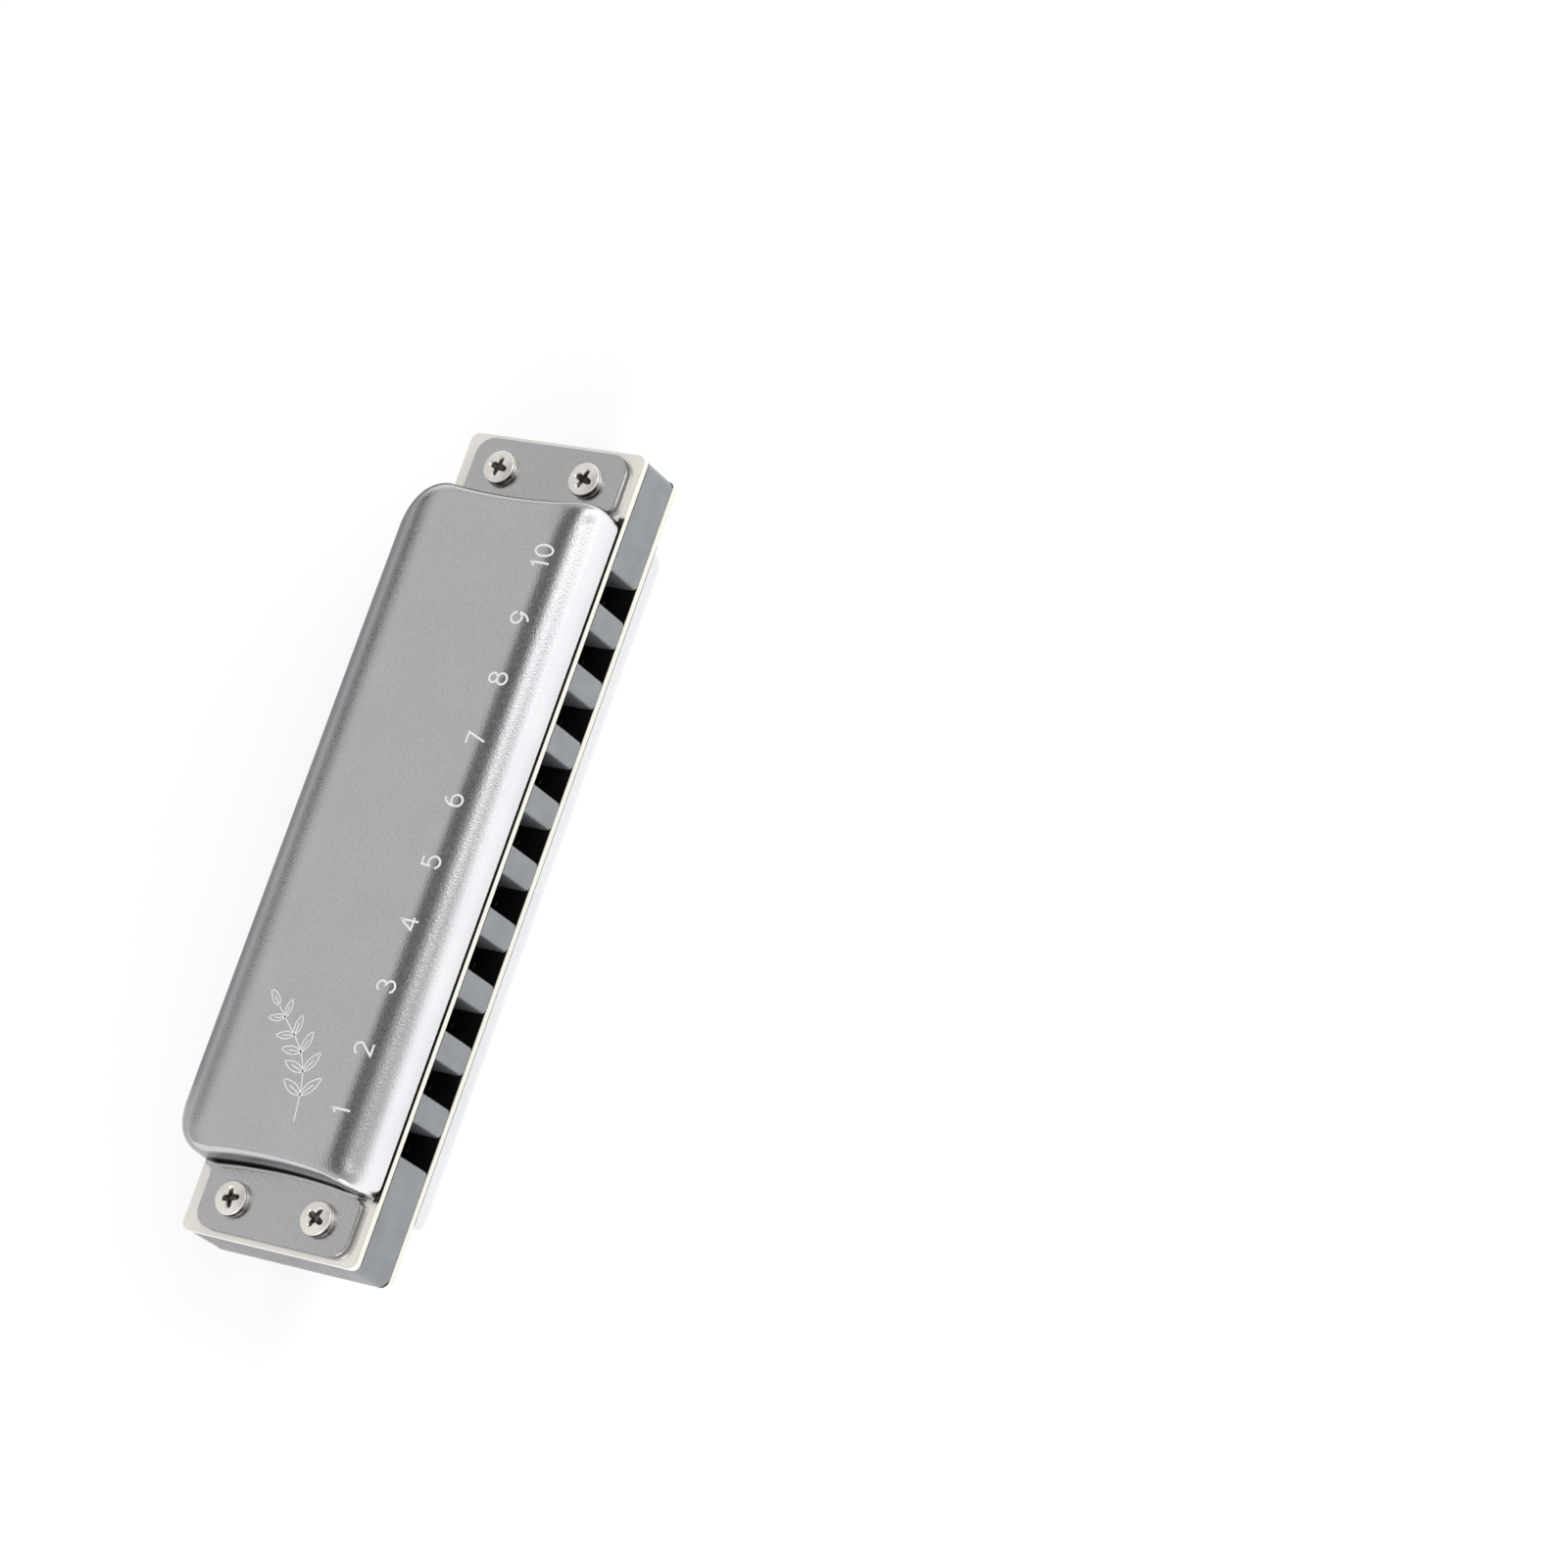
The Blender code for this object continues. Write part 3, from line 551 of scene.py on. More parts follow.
def make_nickel():
    """Polished warm nickel with faint grinding lines along the plates, painted near-black as shade on the faces inside
    the comb, and with a painted shadow under the covers' front lip.
    """
    finish = Finish("reed_plate_nickel", 0.6)
    polished = finish.mixed(finish.noise(4 * MM, 3.0), (0.94, 0.905, 0.85), (0.98, 0.945, 0.895))
    height = finish.away("Z", comb_middle)
    # Painted shade: the plates' faces inside the comb are painted near-black.
    inside = finish.between(height, 0.0, comb_half + plate_inner_level + 0.02 * MM, 0.01 * MM)
    with_painted_shade = finish.layered(inside, polished, (0.02, 0.018, 0.016))
    front = finish.between(finish.away("Y", plate_front), 0.0, 0.05 * MM, 0.1 * MM)
    strip = finish.layered(front, with_painted_shade, (0.76, 0.735, 0.66))
    # Painted shadow: a dark line on the plate's top edge under the cover's front lip.
    lip = finish.between(finish.away("Y", plate_front), 0.0, 0.7 * MM, 0.1 * MM)
    upper_edge = comb_half + plate_outer_level - 0.08 * MM
    high = finish.between(height, upper_edge, upper_edge + PLATE_EDGE, 0.06 * MM)
    covered = finish.between(finish.away("X"), 0.0, body_end, 0.3 * MM)
    lip_shadow = finish.math("MULTIPLY", finish.math("MULTIPLY", lip, high), covered)
    shaded = finish.layered(lip_shadow, strip, (0.03, 0.027, 0.024))
    finish.link(shaded, finish.shader.inputs["Base Color"])
    lines = finish.noise(0.15 * MM, 3.0, (0.03, 1.0, 1.0))
    finish.roughness(lines, 0.12, 0.2)
    finish.bump(lines, 0.001 * MM)
    return finish.material


def make_screw_nickel():
    """Pale plating of the cover screws, with dark brown painted shade on the side of the head that faces the low end
    and in the recess.
    """
    finish = Finish("cover_screw_nickel", 0.45)
    plated = finish.mixed(finish.noise(0.8 * MM, 3.0), (0.93, 0.875, 0.82), (0.99, 0.95, 0.90))
    # Painted shade on the head's side towards the low end and on the recess floors, patchy with a noise.
    _, screw_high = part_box("cover_screw_front_low")
    top = screw_high.z - HEAD_DROP - comb_middle - HEAD_BRIGHT_TOP
    foot = comb_half + flange_level + HEAD_BRIGHT_FOOT
    side = finish.between(finish.away("Z", comb_middle), foot, top, 0.06 * MM)
    towards_low_end = finish.spread(finish.part(finish.normal, "X"), 1.0, 0.0, -0.45, 0.15)
    in_recess = finish.spread(finish.part(finish.normal, "Z"), 0.0, 1.0, 0.1, 0.2)
    shade_band = finish.math("MULTIPLY", side, finish.math("MAXIMUM", towards_low_end, in_recess))
    patchy = finish.math("MULTIPLY", shade_band, finish.spread(finish.noise(0.7 * MM, 2.0), 1.0, 0.88, 0.5, 0.65))
    head_shaded = finish.layered(patchy, plated, (0.045, 0.028, 0.02))
    finish.link(head_shaded, finish.shader.inputs["Base Color"])
    finish.roughness(finish.noise(0.4 * MM, 3.0), 0.17, 0.25)
    finish.bump(finish.noise(0.3 * MM, 2.0), 0.001 * MM)
    return finish.material


def make_plain_metal(name, dark, light, roughness):
    """Turned or punched small metal parts."""
    finish = Finish(name, 1.0)
    finish.colours(finish.noise(1.2 * MM, 4.0), dark, light)
    finish.roughness(finish.noise(0.5 * MM, 3.0), roughness - 0.05, roughness + 0.06)
    finish.bump(finish.noise(0.2 * MM, 3.0), 0.002 * MM)
    return finish.material


def make_brass(name, shaded_below):
    """Rolled brass with fine filing marks, painted dark as shade where it lies inside the comb."""
    finish = Finish(name, 1.0)
    rolled = finish.mixed(finish.noise(2.5 * MM, 4.0), (0.66, 0.47, 0.20), (0.80, 0.62, 0.30))
    # Painted shade: the brass is painted dark below this height, inside the comb.
    inside = finish.between(finish.away("Z", comb_middle), 0.0, shaded_below, 0.02 * MM)
    with_painted_shade = finish.layered(inside, rolled, (0.05, 0.035, 0.018))
    finish.link(with_painted_shade, finish.shader.inputs["Base Color"])
    lines = finish.noise(0.12 * MM, 3.0, (0.08, 1.0, 1.0))
    finish.roughness(lines, 0.22, 0.36)
    finish.bump(lines, 0.002 * MM)
    return finish.material


def make_mark_finish():
    """Pale etched lines."""
    finish = Finish("etched_marks", 0.0)
    finish.colours(finish.noise(0.5 * MM, 3.0), (0.95, 0.945, 0.92), (0.99, 0.985, 0.965))
    finish.roughness(finish.noise(0.3 * MM, 2.0), 0.5, 0.65)
    finish.bump(finish.noise(0.1 * MM, 2.0), 0.002 * MM)
    return finish.material


# Comb


def comb_outline():
    """The comb in plan: rounded corners behind, and ten chambers open at the mouth side."""
    outline = []
    for x, start in ((plate_end - COMB_CORNER, 0.0), (-plate_end + COMB_CORNER, QUARTER)):
        centre = (x, plate_rear - COMB_CORNER)
        outline += arc(centre, COMB_CORNER, start, start + QUARTER, CORNER_STEPS)
    centre = (-plate_end + COMB_CORNER, plate_front + COMB_CORNER)
    outline += arc(centre, COMB_CORNER, 2 * QUARTER, 3 * QUARTER, CORNER_STEPS)
    mouth_y = plate_front + MOUTH_ROUND
    for number in hole_numbers:
        _, reed_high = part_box(f"blow_reed_{number}")
        chamber_rear = reed_high.y + CHAMBER_END_GAP
        left = hole_x(number) - HOLE_WIDTH / 2
        right = hole_x(number) + HOLE_WIDTH / 2
        outline += arc((left - MOUTH_ROUND, mouth_y), MOUTH_ROUND, -QUARTER, 0.0, EDGE_STEPS)
        inner_y = chamber_rear - CHAMBER_CORNER
        centre = (left + CHAMBER_CORNER, inner_y)
        outline += arc(centre, CHAMBER_CORNER, 2 * QUARTER, QUARTER, EDGE_STEPS)
        centre = (right - CHAMBER_CORNER, inner_y)
        outline += arc(centre, CHAMBER_CORNER, QUARTER, 0.0, EDGE_STEPS)
        centre = (right + MOUTH_ROUND, mouth_y)
        outline += arc(centre, MOUTH_ROUND, 2 * QUARTER, 3 * QUARTER, EDGE_STEPS)
    centre = (plate_end - COMB_CORNER, plate_front + COMB_CORNER)
    outline += arc(centre, COMB_CORNER, 3 * QUARTER, 4 * QUARTER, CORNER_STEPS)
    return outline


def add_screw_holes(bm, bottom, top):
    """Cutters for the holes of both kinds of screw."""
    for place in screw_places("cover_screw").values():
        radius = COVER_SCREW_DIAMETER / 2 + SCREW_GAP
        add_cylinder(bm, place, radius, bottom, top, SMALL_ROUND_STEPS)
    for place in screw_places("plate_screw").values():
        radius = PLATE_SCREW_DIAMETER / 2 + SCREW_GAP
        add_cylinder(bm, place, radius, bottom, top, SMALL_ROUND_STEPS)


def make_comb(finish):
    bm = extruded(comb_outline(), comb_low.z, comb_high.z)
    for height in (comb_low.z, comb_high.z):
        bevel_level(bm, height, COMB_EDGE, 2)
    comb = add_mesh("comb_body_with_chambers", bm)
    holes = bmesh.new()
    add_screw_holes(holes, comb_low.z - CUT_OVERSHOOT, comb_high.z + CUT_OVERSHOOT)
    cut(comb, holes)
    smooth(comb)
    keep_flats(comb)
    stand_for(comb, finish, "comb")


# Reed plates


def reed_slot(node):
    """The slot's sides and ends in plan, and the rivet's place, for one reed."""
    low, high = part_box(node)
    half_width = TONGUE_WIDTH / 2 + REED_SIDE_GAP
    x = (low.x + high.x) / 2
    if node.startswith("blow"):
        start = low.y - REED_TIP_GAP
        end = high.y - PAD_LENGTH - REED_TIP_GAP
        rivet_y = high.y - PAD_LENGTH / 2
    else:
        start = low.y + PAD_LENGTH + REED_TIP_GAP
        end = high.y + REED_TIP_GAP
        rivet_y = low.y + PAD_LENGTH / 2
    return (x - half_width, start), (x + half_width, end), (x, rivet_y)


def make_reed_plate(node, side, kind, finish):
    low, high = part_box(node)
    outline = rounded_rectangle(plate_end, plate_front, plate_rear, PLATE_CORNER)
    bm = extruded(outline, low.z, high.z)
    outer, inner = (high.z, low.z) if side == UPPER else (low.z, high.z)
    bevel_level(bm, outer, PLATE_EDGE, EDGE_STEPS)
    bevel_level(bm, inner, PLATE_BURR, 1)
    plate = add_mesh(node.removesuffix("_plate") + "_plate_slotted", bm)
    bottom, top = low.z - CUT_OVERSHOOT, high.z + CUT_OVERSHOOT
    holes = bmesh.new()
    add_screw_holes(holes, bottom, top)
    for number in hole_numbers:
        corner, far_corner, rivet = reed_slot(f"{kind}_reed_{number}")
        add_block(holes, (*corner, bottom), (*far_corner, top))
        radius = RIVET_DIAMETER / 2 + RIVET_GAP
        add_cylinder(holes, rivet, radius, bottom, top, SMALL_ROUND_STEPS)
    cut(plate, holes)
    smooth(plate)
    keep_flats(plate)
    stand_for(plate, finish, node)


# Reeds and rivets


def reed_sections(node):
    """Sections of a reed from its pad's end to its tip: (y, half width, low z, high z).

    The tongue is filed a little thinner in its middle than at its root and tip.
    """
    low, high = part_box(node)
    direction = -1 if node.startswith("blow") else 1
    pad_end = high.y if direction < 0 else low.y
    tip = low.y if direction < 0 else high.y
    pad_half = (high.x - low.x) / 2
    tongue_high = high.z - REED_OFFSET
    root = pad_end + direction * PAD_LENGTH
    sections = []
    for inset, shrink in ((0.0, 2 * REED_EDGE), (REED_EDGE, 0.0)):
        sections.append((pad_end + direction * inset, pad_half - shrink, low.z + shrink / 2, high.z - shrink / 2))
    for inset, shrink in ((REED_EDGE, 0.0), (0.0, 2 * REED_EDGE)):
        sections.append((root - direction * inset, pad_half - shrink, low.z + shrink / 2, high.z - shrink / 2))
    for step in range(TONGUE_SECTIONS + 1):
        share = step / TONGUE_SECTIONS
        filed = 0.28 * math.sin(math.pi * share) ** 2
        thickness = TONGUE_THICKNESS * (1 - filed)
        y = blend(root, tip, share)
        sections.append((y, TONGUE_WIDTH / 2, tongue_high - thickness, tongue_high))
    return sections


def make_reed(node, finish):
    """A reed from its riveted pad to its free tip."""
    bm = bmesh.new()
    x = middle(node).x
    rings = []
    for y, half, low, high in reed_sections(node):
        trim = REED_EDGE / 2
        shape = (
            (-half, low + trim),
            (-half + trim, low),
            (half - trim, low),
            (half, low + trim),
            (half, high - trim),
            (half - trim, high),
            (-half + trim, high),
            (-half, high - trim),
        )
        rings.append([bm.verts.new((x + across, y, height)) for across, height in shape])
    count = len(rings[0])
    for ring, after in zip(rings, rings[1:]):
        for step in range(count):
            following = (step + 1) % count
            bm.faces.new((ring[step], ring[following], after[following], after[step]))
    bm.faces.new(reversed(rings[0]))
    bm.faces.new(rings[-1])
    bmesh.ops.recalc_face_normals(bm, faces=bm.faces)
    reed = add_mesh(node + "_strip", bm)
    _, _, rivet = reed_slot(node)
    low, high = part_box(node)
    hole = bmesh.new()
    radius = RIVET_DIAMETER / 2 + RIVET_GAP
    add_cylinder(hole, rivet, radius, low.z - CUT_OVERSHOOT, high.z + CUT_OVERSHOOT, SMALL_ROUND_STEPS)
    cut(reed, hole)
    smooth(reed)
    dress(reed, finish)
    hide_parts(node)
    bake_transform(reed)


def dome(radius, base, height, steps):
    """Profile points over a dome, from its top to its rim."""
    points = [(0.0, base + height)]
    for step in range(1, steps + 1):
        turn = QUARTER * step / steps
        points.append((radius * math.sin(turn), base + height * math.cos(turn)))
    return points


def flat_disc(radius, top, rounding):
    """Profile points over a flat disc with a rounded rim."""
    points = [(0.0, top)]
    for step in range(EDGE_STEPS + 1):
        turn = QUARTER * step / EDGE_STEPS
        points.append((radius - rounding * (1 - math.sin(turn)), top - rounding * (1 - math.cos(turn))))
    return points


def make_rivet(node, finish):
    """A rivet with a low upset tail on the plate and a round head on the reed's pad."""
    low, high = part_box(node)
    shank = RIVET_DIAMETER / 2
    tail_base = high.z - RIVET_TAIL_HEIGHT
    head_base = low.z + RIVET_HEAD_HEIGHT
    profile = flat_disc(RIVET_TAIL_DIAMETER / 2, high.z, RIVET_TAIL_ROUND)
    profile += [(RIVET_TAIL_DIAMETER / 2, tail_base), (shank, tail_base), (shank, head_base)]
    head = dome(RIVET_HEAD_DIAMETER / 2, 0.0, RIVET_HEAD_HEIGHT, EDGE_STEPS)
    profile += [(radius, head_base - height) for radius, height in reversed(head)]
    bm = bmesh.new()
    place = middle(node)
    turned(bm, profile, (place.x, place.y, 0.0), SMALL_ROUND_STEPS)
    rivet = add_mesh(node + "_domed", bm)
    smooth(rivet)
    stand_for(rivet, finish, node)


# Covers


def plan_angle(y):
    """Direction in which the body's end faces at this place along Y."""
    front_centre = body_front + FRONT_CORNER
    rear_centre = body_rear - REAR_CORNER
    if y < front_centre:
        return math.asin(max((y - front_centre) / FRONT_CORNER, -1.0))
    if y > rear_centre:
        return math.asin(min((y - rear_centre) / REAR_CORNER, 1.0))
    return 0.0


def end_places(y):
    """Foot and crown places in plan for a place on the body's end or its corners."""
    angle = plan_angle(y)
    front_centre = body_front + FRONT_CORNER
    rear_centre = body_rear - REAR_CORNER
    share = min(max((y - front_centre) / (rear_centre - front_centre), 0.0), 1.0)
    bow = END_BOW * 4 * share * (1 - share)
    corner = FRONT_CORNER if share < 0.5 else REAR_CORNER
    foot = (body_end - corner * (1 - math.cos(angle)) - bow, y)
    crown_corner = blend(FRONT_CROWN_CORNER, REAR_CROWN_CORNER, share)
    crown_x = body_end - END_SHOULDER - crown_corner * (1 - math.cos(angle))
    crown_y = blend(crown_front + FRONT_CROWN_CORNER, crown_rear - REAR_CROWN_CORNER, share)
    return foot, (crown_x, crown_y + crown_corner * math.sin(angle)), angle


def shoulder(foot, crown, angle, side_foot):
    """Points down a shoulder, from inside the crown's edge to the foot of the curve.

    side_foot is the foot's level on the body's long side. Towards the ends the foot and
    the shoulder's squareness change to those of the end wall.
    """
    end_share = math.cos(angle) ** 2
    foot_level = blend(side_foot, flange_level + FLANGE_FILLET, end_share)
    squareness = blend(SHOULDER_SQUARENESS, END_SQUARENESS, end_share)
    inner_x = crown[0] - CROWN_RING * math.cos(angle)
    inner_y = crown[1] - CROWN_RING * math.sin(angle)
    points = [(inner_x, inner_y, crown_level)]
    for step in range(SHOULDER_STEPS + 1):
        turn = QUARTER * step / SHOULDER_STEPS
        out = math.sin(turn) ** (2 / squareness)
        rise = max(math.cos(turn), 0.0) ** (2 / squareness)
        x = blend(crown[0], foot[0], out)
        y = blend(crown[1], foot[1], out)
        points.append((x, y, blend(foot_level, crown_level, rise)))
    return points


def skirt(foot, foot_level, angle, length, bend):
    """Points below a shoulder's foot, straight down or curled inwards."""
    points = []
    for step in range(1, TAIL_STEPS + 1):
        run = length * step / TAIL_STEPS
        inwards, down = 0.0, run
        if bend > 1e-6:
            radius = length / bend
            inwards = radius * (1 - math.cos(run / radius))
            down = radius * math.sin(run / radius)
        x = foot[0] - inwards * math.cos(angle)
        y = foot[1] - inwards * math.sin(angle)
        points.append((x, y, foot_level - down))
    return points


def front_column(foot, crown, angle):
    points = shoulder(foot, crown, angle, seat_level + FRONT_WALL)
    foot_level = points[-1][2]
    return points + skirt(foot, foot_level, angle, foot_level - seat_level + FRONT_DROP, 0.0)


def rear_column(foot, crown, angle):
    end_share = math.cos(angle) ** 2
    points = shoulder(foot, crown, angle, plate_outer_level + REAR_LIP_HEIGHT)
    foot_level = points[-1][2]
    end_length = flange_level + FLANGE_FILLET - seat_level
    length = blend(REAR_CURL_RADIUS * REAR_CURL_BEND, end_length, end_share)
    return points + skirt(foot, foot_level, angle, length, REAR_CURL_BEND * (1 - end_share))


def flange_column(foot, crown, angle, side_foot, outline_point):
    """A column over the end wall, its hollow fillet and out to the flange's free edge."""
    points = shoulder(foot, crown, angle, side_foot)
    drop = points[-1][2] - flange_level
    for step in range(1, TAIL_STEPS + 1):
        turn = QUARTER * step / TAIL_STEPS
        x = foot[0] + FLANGE_FILLET * (1 - math.cos(turn))
        points.append((x, foot[1], flange_level + drop * (1 - math.sin(turn))))
    start = Vector((points[-1][0], points[-1][1]))
    end = Vector(outline_point)
    inner = end.lerp(start, min(FLANGE_RIM / max((end - start).length, 1e-9), 0.5))
    points.append((*inner, flange_level))
    points.append((*outline_point, flange_level))
    return points


def flange_outline():
    """The flange's free outline in plan, from the body's front corner to its rear corner."""
    front_foot, _, _ = end_places(flange_foot_front)
    rear_foot, _, _ = end_places(flange_foot_rear)
    round_x = front_foot[0] + FLANGE_FILLET + FLANGE_SEAM + FLANGE_FRONT_ROUND
    hollow_x = rear_foot[0] + FLANGE_FILLET + FLANGE_SEAM + FLANGE_REAR_HOLLOW
    corner_x = flange_end - FLANGE_CORNER
    front_y = flange_front + FLANGE_CORNER
    rear_y = flange_rear - FLANGE_CORNER
    centre = (round_x, flange_foot_front)
    points = arc(centre, FLANGE_FRONT_ROUND, -2 * QUARTER, -QUARTER, FLANGE_FOOT_STEPS)
    points += arc((corner_x, front_y), FLANGE_CORNER, -QUARTER, 0.0, FLANGE_CORNER_STEPS)
    for step in range(1, FLANGE_END_STEPS):
        points.append((flange_end, blend(front_y, rear_y, step / FLANGE_END_STEPS)))
    points += arc((corner_x, rear_y), FLANGE_CORNER, 0.0, QUARTER, FLANGE_CORNER_STEPS)
    centre = (hollow_x, flange_foot_rear)
    points += arc(centre, FLANGE_REAR_HOLLOW, -QUARTER, -2 * QUARTER, FLANGE_FOOT_STEPS)
    return points


def cover_columns():
    """Columns of points on the +X half of a cover's outer skin, from front to rear."""
    columns = []
    corner_x = body_end - FRONT_CORNER
    crown_x = body_end - END_SHOULDER - FRONT_CROWN_CORNER
    for step in range(STRAIGHT_STEPS):
        share = step / STRAIGHT_STEPS
        foot = (corner_x * share, body_front)
        columns.append(front_column(foot, (crown_x * share, crown_front), -QUARTER))
    front_angle = plan_angle(flange_foot_front)
    for step in range(FRONT_CORNER_STEPS):
        angle = blend(-QUARTER, front_angle, step / FRONT_CORNER_STEPS)
        y = body_front + FRONT_CORNER * (1 + math.sin(angle))
        columns.append(front_column(*end_places(y)))
    front_foot = seat_level + FRONT_WALL
    rear_foot = plate_outer_level + REAR_LIP_HEIGHT
    outline = flange_outline()
    for step, outline_point in enumerate(outline):
        share = step / (len(outline) - 1)
        places = end_places(blend(flange_foot_front, flange_foot_rear, share))
        side_foot = front_foot if share < 0.5 else rear_foot
        columns.append(flange_column(*places, side_foot, outline_point))
    rear_angle = plan_angle(flange_foot_rear)
    for step in range(1, REAR_CORNER_STEPS + 1):
        angle = blend(rear_angle, QUARTER, step / REAR_CORNER_STEPS)
        y = body_rear - REAR_CORNER * (1 - math.sin(angle))
        columns.append(rear_column(*end_places(y)))
    corner_x = body_end - REAR_CORNER
    crown_x = body_end - END_SHOULDER - REAR_CROWN_CORNER
    for step in range(STRAIGHT_STEPS - 1, -1, -1):
        share = step / STRAIGHT_STEPS
        foot = (corner_x * share, body_rear)
        columns.append(rear_column(foot, (crown_x * share, crown_rear), QUARTER))
    return columns


def make_cover(node, side, finish):
    """A stamped cover: half of its outer skin, mirrored and thickened inwards."""
    bm = bmesh.new()
    rows = []
    for column in cover_columns():
        rows.append([bm.verts.new((x, y, level(side, z))) for x, y, z in column])
    faces = [bm.faces.new([row[0] for row in rows])]
    for row, next_row in zip(rows, rows[1:]):
        for step in range(min(len(row), len(next_row)) - 1):
            corners = (row[step], row[step + 1], next_row[step + 1], next_row[step])
            faces.append(bm.faces.new(corners))
    if side == LOWER:
        bmesh.ops.reverse_faces(bm, faces=faces)
    cover = add_mesh(node + "_shell", bm)
    mirror = cover.modifiers.new("other half", "MIRROR")
    mirror.merge_threshold = 1e-6
    shell = cover.modifiers.new("sheet", "SOLIDIFY")
    shell.thickness = SHEET
    shell.offset = -1.0
    shell.use_even_offset = True
    edge = cover.modifiers.new("worn edge", "BEVEL")
    edge.width = SHEET_EDGE
    edge.segments = 2
    edge.limit_method = "ANGLE"
    edge.angle_limit = math.radians(50)
    apply_modifiers(cover)
    holes = bmesh.new()
    bottom, top = sorted((level(side, -CUT_OVERSHOOT), level(side, crown_level + CUT_OVERSHOOT)))
    for place in screw_places("cover_screw").values():
        radius = COVER_SCREW_DIAMETER / 2 + SCREW_GAP
        add_cylinder(holes, place, radius, bottom, top, SMALL_ROUND_STEPS)
    cut(cover, holes)
    smooth(cover, 40)
    stand_for(cover, finish, node)


# Screws and nuts


def thread_heights(top, bottom):
    """Heights of the rings down a thread."""
    rings = []
    height = top
    rows_per_turn = 6
    while height > bottom:
        rings.append(height)
        height -= THREAD_PITCH / rows_per_turn
    rings.append(bottom)
    return rings


def thread_radius(radius, top, bottom, height, angle):
    """Radius of the shank here: plain above the thread, and run out at both of its ends."""
    turns = (height - bottom) / THREAD_PITCH + angle / (2 * math.pi)
    wave = abs(2 * (turns % 1.0) - 1)
    fade = min((top - height) / THREAD_PITCH, (height - bottom) / THREAD_PITCH + 0.4, 1.0)
    return radius - THREAD_DEPTH * wave * max(fade, 0.0)


def add_threaded_shank(bm, place, radius, top, bottom):
    """Shank from under the head to the tip, with a true helical thread in its lower part."""
    thread_top = bottom + THREAD_LENGTH
    heights = [top] + thread_heights(thread_top, bottom)
    rings = []
    for height in heights:
        ring = []
        for step in range(SMALL_ROUND_STEPS):
            angle = 2 * math.pi * step / SMALL_ROUND_STEPS
            here = thread_radius(radius, thread_top, bottom, height, angle)
            x = place[0] + here * math.cos(angle)
            y = place[1] + here * math.sin(angle)
            ring.append(bm.verts.new((x, y, height)))
        rings.append(ring)
    for upper, lower in zip(rings, rings[1:]):
        for step in range(SMALL_ROUND_STEPS):
            after = (step + 1) % SMALL_ROUND_STEPS
            bm.faces.new((upper[step], lower[step], lower[after], upper[after]))
    bm.faces.new(rings[0])
    bm.faces.new(reversed(rings[-1]))


def head_profile(radius, height):
    """A pan head: a nearly flat top, a small rounding and an upright side."""
    flat = radius - HEAD_ROUND
    points = []
    for step in range(5):
        share = step / 4
        points.append((flat * share, height - HEAD_CROWN * share**2))
    base = height - HEAD_CROWN - HEAD_ROUND
    for step in range(1, EDGE_STEPS + 1):
        turn = QUARTER * step / EDGE_STEPS
        points.append((flat + HEAD_ROUND * math.sin(turn), base + HEAD_ROUND * math.cos(turn)))
    return points + [(radius, 0.0), (0.0, 0.0)]


def cross_recess(place, top, turn):
    """Cutter for a cross recess with round arm ends, a broken lip and tapered walls."""
    wide, narrow = RECESS_REACH / 2, RECESS_WIDTH / 2
    outline = []
    for quarter in range(4):
        angle = turn + quarter * QUARTER
        tip = arc((wide - narrow, 0.0), narrow, -QUARTER, QUARTER, EDGE_STEPS)
        for x, y in [*tip, (narrow * 1.15, narrow * 1.15)]:
            across = x * math.cos(angle) - y * math.sin(angle)
            along = x * math.sin(angle) + y * math.cos(angle)
            outline.append(Vector((across, along)))
    stations = (
        (top - RECESS_DEPTH, RECESS_TAPER * 0.6, 0.0),
        (top - RECESS_DEPTH * 0.75, RECESS_TAPER, 0.0),
        (top - RECESS_LIP, 1.0, 0.0),
        (top + RECESS_LIP, 1.0, 2 * RECESS_LIP),
        (top + CUT_OVERSHOOT, 1.0, 2 * RECESS_LIP),
    )
    bm = bmesh.new()
    rings = []
    for height, scale, flare in stations:
        ring = []
        for point in outline:
            here = point * scale + point.normalized() * flare
            ring.append(bm.verts.new((place[0] + here.x, place[1] + here.y, height)))
        rings.append(ring)
    count = len(outline)
    for lower, upper in zip(rings, rings[1:]):
        for step in range(count):
            after = (step + 1) % count
            bm.faces.new((lower[step], lower[after], upper[after], upper[step]))
    bm.faces.new(reversed(rings[0]))
    bm.faces.new(rings[-1])
    return bm


def make_cover_screw(position, place, finish):
    node = "cover_screw_" + position
    low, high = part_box(node)
    seat = level(UPPER, flange_level) + HEAD_SEAT
    bm = bmesh.new()
    top = high.z - HEAD_DROP
    profile = head_profile(COVER_SCREW_HEAD / 2, top - seat)
    turned(bm, profile, (*place, seat), ROUND_STEPS)
    screw = add_mesh(node + "_head", bm)
    turn = math.radians(RECESS_TURNS[position])
    cut(screw, cross_recess(place, top, turn))
    shank = bmesh.new()
    overlap = HEAD_ROUND / 2
    add_threaded_shank(shank, place, COVER_SCREW_DIAMETER / 2, seat + overlap, low.z)
    cut(screw, shank, "UNION")
    smooth(screw)
    keep_flats(screw)
    stand_for(screw, finish, node)


